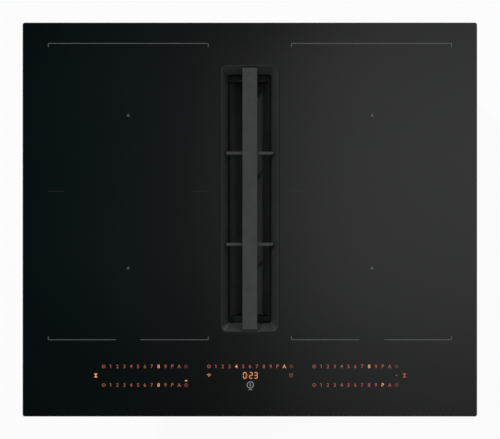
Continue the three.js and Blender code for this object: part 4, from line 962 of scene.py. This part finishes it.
# %% Screw bosses on the flange
boss = round_head("boss_master", 5.5, 7.0, 0.6, 20)
BOSS_OUT = 4.0
front, right, rear = base_low.y - BOSS_OUT, base_high.x + BOSS_OUT, BASE_REAR + BOSS_OUT
boss_places = [(70, front), (150, front), (235, front), (right, -45), (right, 22), (right, 95),
               (75, rear), (200, rear)]
repeat("flange_bosses", boss, [((x, y, 34.2), UNTURNED) for x, y in boss_places],
       black_moulded)
repeat("flange_screws", screw, [((x, y, 34.3), FACING["down"]) for x, y in boss_places],
       zinc_screw)
discard(boss)

# %% Ribs and clips on the plenum
tub_low, tub_high = in_mm(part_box("air_duct_tub"))
plenum_x = -tub_low.x
RIB_FOOT = 8
TO_FRONT, TO_REAR, TO_RIGHT = (0, 0, 90), (0, 0, -90), (0, 0, 180)
rib = rounded_block("rib_master", (-3.6, -1.1, RIB_FOOT), (0.4, 1.1, 136), edge=0)
bevelled(rib, "EDGE", lambda edge: middle(edge).x < -3.5 and middle(edge).z < RIB_FOOT + 0.1,
         3.4, 1)
soften(rib, 0.4)
ribs = [((-plenum_x, y, 0), UNTURNED) for y in (-120, -78, -36, 6, 48, 90, 132, 174)]
ribs += [((x, tub_low.y, 0), TO_FRONT) for x in (-22, 0, 22)]
ribs += [((x, tub_high.y, 0), TO_REAR) for x in (-22, 0, 22)]
ribs += [((plenum_x, -122, 0), TO_RIGHT)]
repeat("plenum_ribs", rib, ribs, black_moulded)
discard(rib)
lid_steps = [(0.05, 139.6), (1.6, 139.6), (2.1, 140.1), (2.1, 144.8), (1.7, 145.3), (0.05, 145.3)]
plenum_half_y = (tub_high.y - tub_low.y) / 2
lid_rim = bridged("lid_rim", [
    (0, inlet_y, plenum_x + out, plenum_half_y + out, 10 + out, z) for out, z in lid_steps])
dress(lid_rim, black_moulded)
clip = rounded_block("clip_master", (-4.4, -7, 126), (-1.6, 7, 143), edge=0.5)
hook = rounded_block("hook_master", (-2.2, -5, 130), (0.2, 5, 134), edge=0.5)
clip = joined("clip_master", [clip, hook])
clips = [((-plenum_x, y, 0), UNTURNED) for y in (-99, -15, 69, 153)]
clips += [((-11, tub_low.y, 0), TO_FRONT), ((11, tub_high.y, 0), TO_REAR)]
repeat("lid_clips", clip, clips, black_moulded)
discard(clip)

# %% [markdown]
# The scroll round the fan widens steadily from its tongue. Upright ribs stand on its wall, each
# at its own direction from the fan's middle, so their distance follows the same rule.

# %% Ribs on the scroll
FAN_X, FAN_Y = 152.0, 20.0


def scroll_reach(degrees):
    """From the fan's middle to the outside of the scroll's wall."""
    return 88 + 30 * (degrees - 60) / 360 + 2.5


scroll_rib = rounded_block("scroll_rib_master", (-0.6, -1.1, 40.6), (3.2, 1.1, 141.5), edge=0.4)
scroll_ribs = []
for degrees in range(225, 361, 15):
    reach = scroll_reach(degrees) - 0.4
    angle = math.radians(degrees)
    place = (FAN_X + reach * math.cos(angle), FAN_Y + reach * math.sin(angle), 0)
    scroll_ribs.append((place, (0, 0, degrees)))
repeat("scroll_ribs", scroll_rib, scroll_ribs, black_moulded)
discard(scroll_rib)

# %% [markdown]
# ## The outlet
#
# A grey collar with a flat spigot takes the duct. Two ridges round the spigot grip the duct's
# sleeve, gussets stiffen it against its flange, and screws hold the flange. The flap inside
# has ribs on its rear face.

# %% Spigot ridges and gussets
spigot_x, spigot_z = 156.5, 90.35
spigot_half_x, spigot_half_z = 111.0, 44.5
ridge_parts = []
for y in (244.0, 253.0):
    # Each row is how far out from the spigot, and the place along Y.
    ridge_steps = [(-0.3, y - 1.6), (0.9, y - 0.5), (0.9, y + 0.2), (-0.3, y + 0.7)]
    # The ridge is made lying down and then stood up, so its height becomes -Y.
    ridge = bridged("ridge", [(spigot_x, spigot_z, spigot_half_x + out, spigot_half_z + out,
                               1.5 + out, -along) for out, along in ridge_steps], steps=4)
    ridge.data.transform(Matrix.Rotation(math.radians(90), 4, "X"))
    ridge_parts.append(ridge)
dress(joined("spigot_ridges", ridge_parts), grey_moulded)
FLANGE_Y = 225.1
gusset = rounded_block("gusset_master", (-1, 0, 0), (1, 7, 4.4), edge=0)
bevelled(gusset, "EDGE", lambda edge: middle(edge).y > 6.9 and middle(edge).z > 4.3, 4.2, 1)
soften(gusset, 0.3)
gussets = []
for dx in (-90, -45, 0, 45, 90):
    for way, turn in ((1, 0), (-1, 180)):
        place = (spigot_x + dx, FLANGE_Y, spigot_z + way * (spigot_half_z - 0.2))
        gussets.append((place, (0, turn, 0)))
repeat("spigot_gussets", gusset, gussets, grey_moulded)
discard(gusset)

# %% Flange screws of the outlet
outlet_screws = [((spigot_x + dx, FLANGE_Y + 0.2, z), FACING["rear"])
                 for dx in (-112, -62, -20, 20, 62, 112) for z in (41.8, 138.9)]
repeat("outlet_screws", screw, outlet_screws, zinc_screw)

# %% Ribs on the flap
flap_ribs = []
for dx in (-80, -40, 0, 40, 80):
    x = spigot_x + dx
    flap_ribs.append(rounded_block("flap_rib", (x - 0.8, 230.0, 52.0), (x + 0.8, 231.5, 122.0),
                                   edge=0.3))
dress(joined("flap_ribs", flap_ribs), grey_moulded, "flap")

# %% [markdown]
# ## The mains terminal box
#
# A small grey box under the rear holds the terminals. It has ribs on its outside, and its side
# cover, ribbed as well, swings on a pin. The gland in its wall is a round collar with a six-sided
# cap nut, and ends in a hollow dome.

# %% Ribs of the box and its cover
terminal_low, terminal_high = in_mm(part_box("terminal_box"))
terminal_ribs = []
for x in (-195, -140, -128):
    for y, way in ((terminal_low.y, -1), (terminal_high.y, 1)):
        low = (x - 1, min(y, y + way * 1.4) - 0.1, 114.0)
        high = (x + 1, max(y, y + way * 1.4) + 0.1, 143.5)
        terminal_ribs.append(rounded_block("terminal_rib", low, high, edge=0.4))
for y in (150, 170, 190):
    terminal_ribs.append(rounded_block(
        "terminal_rib", (-208, y - 1, 110.3), (-122, y + 1, 111.6), edge=0.4))
dress(joined("terminal_ribs", terminal_ribs), grey_moulded)
COVER_FACE = -215.3
cover_parts = [rounded_block(
    "cover_panel", (COVER_FACE - 0.9, 146, 117), (COVER_FACE + 0.1, 194, 134), edge=0.5)]
for y in (156, 170, 184):
    cover_parts.append(rounded_block(
        "cover_rib", (COVER_FACE - 1.6, y - 1, 119), (COVER_FACE - 0.7, y + 1, 132), edge=0.35))
dress(joined("cover_panel", cover_parts), grey_moulded, "cover")

# %% Gland with its cap nut
gland_low, gland_high = in_mm(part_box("cable_gland"))
gland_place = ((gland_low.x + gland_high.x) / 2, gland_low.y, (gland_low.z + gland_high.z) / 2)
collar = round_head("collar", 12, 4, 0.6, 32)
nut = add_mesh(bpy.ops.mesh.primitive_cylinder_add, "nut", (0, 0, 8),
               vertices=6, radius=11.6 * MM, depth=8 * MM)
soften(nut, 0.8, 3)
dome = round_head("dome", 9.4, 18, 4.5, 32)
hollow(dome, 0, 6)
gland = joined("gland_nut", [collar, nut, dome])
turn = Matrix.Rotation(math.radians(-90), 4, "X")
gland.data.transform(Matrix.Translation(metres(*gland_place)) @ turn)
dress(gland, gland_moulded, stands_for=["cable_gland"], smooth=30)
discard(screw, rivet)

# %% [markdown]
# ## Marks on the glass
#
# All marks are flat shapes a few hundredths of a millimetre thick. `print_on_glass` gives a flat
# sheet that thickness and lays it on the glass, sunk in very slightly as fired enamel is.

# %% From a flat sheet to a print
MARK_DEPTH, MARK_SUNK = 0.06, 0.02


def print_on_glass(piece, finish):
    only(piece)
    thick = piece.modifiers.new("thick", "SOLIDIFY")
    thick.thickness = MARK_DEPTH * MM
    thick.offset = 1.0
    bpy.ops.object.modifier_apply(modifier=thick.name)
    piece.data.transform(Matrix.Translation(metres(0, 0, glass_high.z - MARK_SUNK)))
    return dress(piece, finish, smooth=20)


def sheet(name, x, y, width, length, corner=0.0, steps=3):
    """A flat plate at height nought, facing up, with rounded corners."""
    piece = add_mesh(bpy.ops.mesh.primitive_plane_add, name, (x, y, 0),
                     (width * MM, length * MM, 1), size=1)
    return bevelled(piece, "VERT", None, corner, steps) if corner else piece


def outline_only(piece, stroke):
    """Leaves a line of this width (mm) round the edge of a flat plate."""
    pick(piece, "FACE")
    bpy.ops.mesh.inset(thickness=stroke * MM)
    bpy.ops.mesh.delete(type="FACE")
    return close(piece)


print("marks are", MARK_DEPTH, "mm thick")

# %% [markdown]
# A cooking zone is marked by two brackets: a long line with its ends turned in, at the rear and
# at the front. Both come from one rounded rectangle that is inset by the width of the line. The
# middle of its sides is then cut away, and so is a gap in the front line.

# %% Zone brackets
zone_inner, zone_outer = 54.4, 266.4
zone_front, zone_rear = -159.0, 232.9
LINE_WIDTH = 1.0
TURN_FRONT, TURN_REAR = 5.0, 5.4
GAP_X, GAP_HALF = 160.6, 16.2


def split(piece, axis, place):
    """Cuts new edges right across a flat piece, at a place on X or Y."""
    pick(piece, "FACE")
    normal = (1, 0, 0) if axis == "x" else (0, 1, 0)
    bpy.ops.mesh.bisect(plane_co=[place * MM * part for part in normal], plane_no=normal)


def cut_away(face):
    """A face in the middle of a bracket's side, or in the gap of its front line."""
    place = middle(face)
    beside = zone_front + TURN_FRONT < place.y < zone_rear - TURN_REAR
    return beside or (place.y < 0 and abs(place.x - gap_x) < GAP_HALF)


for side, side_name in SIDES:
    x = side * (zone_inner + zone_outer) / 2
    y = (zone_front + zone_rear) / 2
    bracket = sheet("zone_bracket_" + side_name, x, y, zone_outer - zone_inner,
                    zone_rear - zone_front, 1.2, 4)
    outline_only(bracket, LINE_WIDTH)
    gap_x = side * GAP_X
    for axis, place in (("y", zone_rear - TURN_REAR), ("y", zone_front + TURN_FRONT),
                        ("x", gap_x - GAP_HALF), ("x", gap_x + GAP_HALF)):
        split(bracket, axis, place)
    pick(bracket, "FACE", cut_away)
    bpy.ops.mesh.delete(type="FACE")
    close(bracket)
    print_on_glass(bracket, enamel_line)

# %% [markdown]
# Halfway down each zone a faint tick on each side shows where the front and the rear coil meet,
# and a small triangle marks the middle of each of them.

# %% Zone ticks and middle marks
TICK_Y = 37.4
MIDDLE_X, MIDDLES_Y = 160.9, (137.7, -63.6)
for side, side_name in SIDES:
    ticks = [sheet("tick", side * x, TICK_Y, 22, 0.9, 0.4)
             for x in (zone_outer - 11, zone_inner + 11)]
    print_on_glass(joined("zone_ticks_" + side_name, ticks), enamel_faint)
    triangles = []
    for y in MIDDLES_Y:
        triangle = add_mesh(bpy.ops.mesh.primitive_circle_add, "triangle",
                            (side * MIDDLE_X + 0.4, y - 0.4, 0),
                            vertices=3, radius=2.7 * MM, fill_type="NGON")
        triangles.append(bevelled(triangle, "VERT", None, 0.35))
    print_on_glass(joined("zone_middles_" + side_name, triangles), enamel_line)

# %% [markdown]
# ## The slider scales
#
# Each scale has the numbers 0 to 9, P for the boost, A for automatic and a small clock. Every
# figure is made once, as text that is turned into a mesh and brought to its real height, and
# each scale then gets its own copies.

# %% Figures for the scales
FIGURE_HEIGHT = 4.8


def figure(letter):
    bpy.ops.object.select_all(action="DESELECT")
    bpy.ops.object.text_add()
    text = bpy.context.object
    text.data.body = letter
    text.data.size = 1
    text.data.offset = 0.006
    bpy.ops.object.convert(target="MESH")
    piece = named("figure_" + letter)
    pick(piece, "VERT")
    bpy.ops.mesh.remove_doubles(threshold=1e-5)
    close(piece)
    size = piece.dimensions.copy()
    low = Vector(piece.bound_box[0])
    scale = FIGURE_HEIGHT * MM / size.y
    centre = Vector((low.x + size.x / 2, low.y + size.y / 2, 0))
    piece.data.transform(Matrix.Scale(scale, 4) @ Matrix.Translation(-centre))
    return piece


def flat_ring(name, radius, stroke, vertices=24, x=0, y=0):
    ring = add_mesh(bpy.ops.mesh.primitive_circle_add, name, (x, y, 0),
                    vertices=vertices, radius=radius * MM, fill_type="NGON")
    return outline_only(ring, stroke)


figures = {letter: figure(letter) for letter in "23456789PA"}
flag = sheet("flag", -0.75, 1.75, 1.5, 0.7, 0.1)
figures["1"] = joined("figure_1", [sheet("stem", 0.35, 0, 0.75, 4.6, 0.1), flag])
figures["0"] = joined("figure_0", [
    flat_ring("ring", 2.35, 0.7), sheet("dash", 0, 0, 1.2, 0.6, 0.25)])
hand = sheet("hand", 0, 0, 2.4, 0.45, 0.2)
hand.data.transform(Matrix.Rotation(math.radians(-45), 4, "Z"))
figures["clock"] = joined("figure_clock", [flat_ring("ring", 2.2, 0.45), hand])
print("figures:", sorted(figures))

# %% Slider scales
SCALE = ["0", "1", "2", "3", "4", "5", "6", "7", "8", "9", "P", "A", "clock"]
PITCH = 9.05
LEFT_X, MIDDLE_FIRST_X, RIGHT_X = -192.8, -54.0, 84.9
REAR_Y, MARKS_Y, FRONT_Y = -193.7, -205.6, -218.2
scales = [("left_rear", LEFT_X, REAR_Y, ["8"]), ("left_front", LEFT_X, FRONT_Y, ["8"]),
          ("middle", MIDDLE_FIRST_X, REAR_Y, ["4", "A"]), ("right_rear", RIGHT_X, REAR_Y, ["8"]),
          ("right_front", RIGHT_X, FRONT_Y, ["P"])]
for scale_name, first_x, y, chosen in scales:
    dim, bright = [], []
    for index, mark in enumerate(SCALE):
        copy = copy_to(figures[mark], (first_x + index * PITCH, y, 0))
        if mark == "clock":
            clock = copy
        else:
            (bright if mark in chosen else dim).append(copy)
    print_on_glass(joined("scale_" + scale_name, dim), light_dim)
    print_on_glass(joined("level_" + scale_name, bright), light_bright)
    clock_light = light_dim if scale_name == "left_front" else light_faint
    print_on_glass(joined("clock_" + scale_name, [clock]), clock_light)

# %% [markdown]
# ## The display and the small marks
#
# The time display has seven-segment figures. One segment is a thin plate with pointed ends, and
# each figure is made of copies of it.

# %% Seven-segment time
SEGMENTS = {"top": (0, 3.8, 0), "middle": (0, 0, 0), "bottom": (0, -3.8, 0),
            "upper_left": (-1.9, 1.95, 90), "upper_right": (1.9, 1.95, 90),
            "lower_left": (-1.9, -1.95, 90), "lower_right": (1.9, -1.95, 90)}
FIGURES = {"0": ["top", "bottom", "upper_left", "upper_right", "lower_left", "lower_right"],
           "2": ["top", "middle", "bottom", "upper_right", "lower_left"],
           "3": ["top", "middle", "bottom", "upper_right", "lower_right"]}
segment = sheet("segment", 0, 0, 3.4, 1.15, 0.5, 1)
time_parts = []
for number, x in (("0", -6.6), ("2", 1.5), ("3", 7.8)):
    for part in FIGURES[number]:
        dx, dy, turn = SEGMENTS[part]
        time_parts.append(copy_to(segment, (x + dx, MARKS_Y + dy, 0), (0, 0, turn)))
for y in (MARKS_Y + 0.5, MARKS_Y - 0.5):
    time_parts.append(sheet("colon", -2.75, y, 0.9, 0.5, 0.15))
print_on_glass(joined("time_display", time_parts), light_figure)
discard(segment)

# %% [markdown]
# Beside it are generic marks: two facing triangles that join the zones, rings for the timer and
# for power, and a fan of arcs for the remote link.

# %% Joined-zone, link and timer marks
def facing_triangles(name, x, y, finish):
    """Two triangles, point to point, between two short bars."""
    parts = []
    for way, turn in ((-1, 0), (1, math.pi)):
        parts.append(add_mesh(bpy.ops.mesh.primitive_circle_add, "triangle", (x, y + way * 1.15, 0),
                              vertices=3, radius=1.8 * MM, fill_type="NGON", rotation=(0, 0, turn)))
        parts.append(sheet("bar", x, y + way * 2.25, 4.4, 0.8, 0.2))
    print_on_glass(joined(name, parts), finish)


facing_triangles("joined_zones_left", -203.3, MARKS_Y, light_bright)
facing_triangles("joined_zones_right", 204.0, MARKS_Y, light_dim)
print_on_glass(sheet("key_dot_right", 193.4, MARKS_Y, 1.9, 1.9, 0.8), light_faint)
print_on_glass(sheet("timer_dash_left", -84.1, -212.6, 3.1, 1.5, 0.6), light_bright)

# %% Remote link, alarm and power
def arc(radius, stroke, x, y):
    """The upper quarter of a ring."""
    ring = flat_ring("arc", radius, stroke, 32, x, y)
    split(ring, "y", y)
    pick(ring, "FACE", lambda face: middle(face).y - y < 0.72 * (
        middle(face) - Vector((x, y, 0))).length)
    bpy.ops.mesh.delete(type="FACE")
    return close(ring)


link = [arc(radius, 0.55, -54, -207.6) for radius in (4.1, 2.6)]
link.append(sheet("dot", -54, -206.9, 1.1, 1.1, 0.5))
print_on_glass(joined("remote_link", link), light_figure)
alarm = [flat_ring("bell", 2.5, 0.7, 24, 54.5, -205.8), sheet("hand", 54.5, -205.2, 0.6, 1.6, 0.2),
         sheet("hand", 55.1, -205.8, 1.4, 0.6, 0.2), sheet("ear", 52.4, -203.4, 1.4, 1.0, 0.3),
         sheet("ear", 56.6, -203.4, 1.4, 1.0, 0.3)]
print_on_glass(joined("alarm_mark", alarm), light_faint)
power = [flat_ring("ring", 4.7, 1.2, 48, 0.6, -218.1), sheet("stroke", 0.6, -218.1, 1.4, 4.0, 0.6),
         sheet("foot", 0.6, -224.5, 4.5, 0.8, 0.3), sheet("foot", 0.6, -223.8, 2.4, 0.8, 0.3)]
print_on_glass(joined("power_mark", power), enamel_mark)
discard(*figures.values())

# %% [markdown]
# ## Floor, backdrop and light
#
# The picture has a plain white background. The floor and the sky are white only for rays that
# come from the camera or from a reflection, so the object itself isn't lit any harder by them.
# The floor still mixes in ordinary diffuse light, which keeps the object's soft shadow.

# %% White floor that keeps the shadow
floor = add_mesh(bpy.ops.mesh.primitive_plane_add, "floor", (0, 0, -1), size=8)
floor_finish = new_finish("painted_floor_white", "#fafafa", 0, 0.8)
floor_shader = floor_finish.node_tree.nodes["Principled BSDF"]
WHITE = (1, 1, 1, 1)
seen = add_node(floor_finish, "LightPath")
direct = add_node(floor_finish, "Math", {"operation": "MAXIMUM"},
                  {0: seen.outputs["Is Camera Ray"], 1: seen.outputs["Is Glossy Ray"]})
white_glow = add_node(floor_finish, "Emission", {"Color": WHITE, "Strength": 1.0})
share = add_node(floor_finish, "Math", {"operation": "MULTIPLY", 1: 0.92}, {0: direct.outputs[0]})
floor_mix = add_node(floor_finish, "MixShader", {}, {
    0: share.outputs[0], 1: floor_shader.outputs[0], 2: white_glow.outputs[0]})
# From below the floor can be seen through.
below = add_node(floor_finish, "NewGeometry")
clear = add_node(floor_finish, "BsdfTransparent")
floor_out = add_node(floor_finish, "MixShader", {}, {
    0: below.outputs["Backfacing"], 1: floor_mix.outputs[0], 2: clear.outputs[0]})
floor_finish.node_tree.links.new(
    floor_out.outputs[0], floor_finish.node_tree.nodes["Material Output"].inputs[0])
floor.data.materials.append(floor_finish)
floor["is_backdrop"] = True
print("floor size:", tuple(round(side, 2) for side in floor.dimensions))

# %% White backdrop
SKY_LIGHT = 0.38
world = bpy.data.worlds.new("studio")
bpy.context.scene.world = world
world.use_nodes = True
ray = add_node(world, "LightPath")
glossy = add_node(world, "Math", {"operation": "MAXIMUM"},
                  {0: ray.outputs["Is Glossy Ray"], 1: ray.outputs["Is Transmission Ray"]})
shown = add_node(world, "Math", {"operation": "MAXIMUM"},
                 {0: ray.outputs["Is Camera Ray"], 1: glossy.outputs[0]})
level = add_node(world, "MapRange", {"To Min": SKY_LIGHT, "To Max": 1.0},
                 {"Value": shown.outputs[0]})
background = world.node_tree.nodes["Background"]
background.inputs["Color"].default_value = WHITE
world.node_tree.links.new(level.outputs[0], background.inputs["Strength"])
print("sky light:", SKY_LIGHT)

# %% [markdown]
# Polished black glass shows whatever hangs above it. A large card above the camera fades from
# dark on the left to light on the right and darkens towards the front, as in the picture. Its
# light part leans to the right towards the front and the rear. It is a real sheet of light, so
# the glass shows it as a true reflection and no shade is painted on.

# %% Light card above the glass
CARD_HEIGHT = 3210
CARD_SIZE = (3.0, 2.6, 1)
card = add_mesh(bpy.ops.mesh.primitive_plane_add, "light_card", (0, 0, CARD_HEIGHT), CARD_SIZE,
                size=1, rotation=(math.pi, 0, 0))
card_finish = bpy.data.materials.new("card_soft_white")
card_finish.use_nodes = True
card_tree = card_finish.node_tree
card_tree.nodes.remove(card_tree.nodes["Principled BSDF"])
card_place = add_node(card_finish, "TexCoord")
card_axes = add_node(card_finish, "SeparateXYZ", {}, {0: card_place.outputs["Object"]})


def draw_curve(node, places):
    """Sets the points of a float curve."""
    points = node.mapping.curves[0].points
    for place in places[1:-1]:
        points.new(*place)
    points[0].location = places[0]
    points[len(points) - 1].location = places[-1]
    node.mapping.update()


along = add_node(card_finish, "MapRange", {"From Min": -0.95, "From Max": 0.95},
                 {"Value": card_axes.outputs["Y"]})
# Towards the front and the rear the light part moves to the right.
lean = add_node(card_finish, "FloatCurve", {}, {"Value": along.outputs[0]})
draw_curve(lean, [(0.0, 0.48), (0.19, 0.2), (0.36, 0.01), (0.78, 0.02), (0.95, 0.42), (1.0, 0.6)])
moved = add_node(card_finish, "Math", {"operation": "MULTIPLY_ADD", 1: -0.3},
                 {0: lean.outputs[0], 2: card_axes.outputs["X"]})
across = add_node(card_finish, "MapRange", {"From Min": -1.1, "From Max": 1.1},
                  {"Value": moved.outputs[0]})
fade = add_node(card_finish, "FloatCurve", {}, {"Value": across.outputs[0]})
draw_curve(fade, [(0.0, 0.045), (0.11, 0.09), (0.24, 0.125), (0.41, 0.22), (0.58, 0.49),
                  (0.68, 0.65), (0.77, 0.73), (1.0, 0.77)])
dusk = add_node(card_finish, "FloatCurve", {}, {"Value": along.outputs[0]})
draw_curve(dusk, [(0.0, 0.47), (0.19, 0.69), (0.36, 0.92), (0.50, 1.0), (0.78, 1.0), (1.0, 0.8)])
strength = add_node(card_finish, "Math", {"operation": "MULTIPLY"},
                    {0: fade.outputs[0], 1: dusk.outputs[0]})
cool = add_node(card_finish, "MapRange", {"From Max": 0.42}, {"Value": across.outputs[0]})
tint = add_node(card_finish, "Mix", {"data_type": "RGBA", 6: colour("#40ffff"),
                7: colour("#ffffff")}, {0: cool.outputs[0]})
glow = add_node(card_finish, "Emission", {}, {"Color": tint.outputs[2],
                "Strength": strength.outputs[0]})
card_tree.links.new(glow.outputs[0], card_tree.nodes["Material Output"].inputs[0])
card.data.materials.append(card_finish)
card.visible_camera = False
card.visible_shadow = False
card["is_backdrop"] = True
print("card size:", tuple(round(side, 2) for side in card.dimensions))

# %% [markdown]
# The key light comes from the left and the rear, a little under forty degrees up. It is what
# throws the bar's shadow on the right slope of the inlet. A wide, weak light from low down at the
# right and the rear fills in the slopes that it doesn't reach.

# %% Key light, fill light and view
def far_light(name, strength, spread, along):
    """A distant light whose rays travel along a direction."""
    data = bpy.data.lights.new(name, "SUN")
    data.energy = strength
    data.angle = math.radians(spread)
    light = bpy.data.objects.new(name, data)
    bpy.context.collection.objects.link(light)
    light.rotation_euler = Vector(along).to_track_quat("-Z", "Y").to_euler()
    print(name, "strength", strength, "spread", spread, "along", along)


far_light("key", 1.5, 2.5, (0.95, -0.915, -1.0))
far_light("fill", 1.2, 14, (-0.6, -0.8, -0.25))
bpy.context.scene.view_settings.view_transform = "Standard"

# %% [markdown]
# ## The size of the dressed model
#
# The box round the dressed model is measured, with the floor and the card left out.

# %% Measure the dressed model's box
low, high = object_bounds()
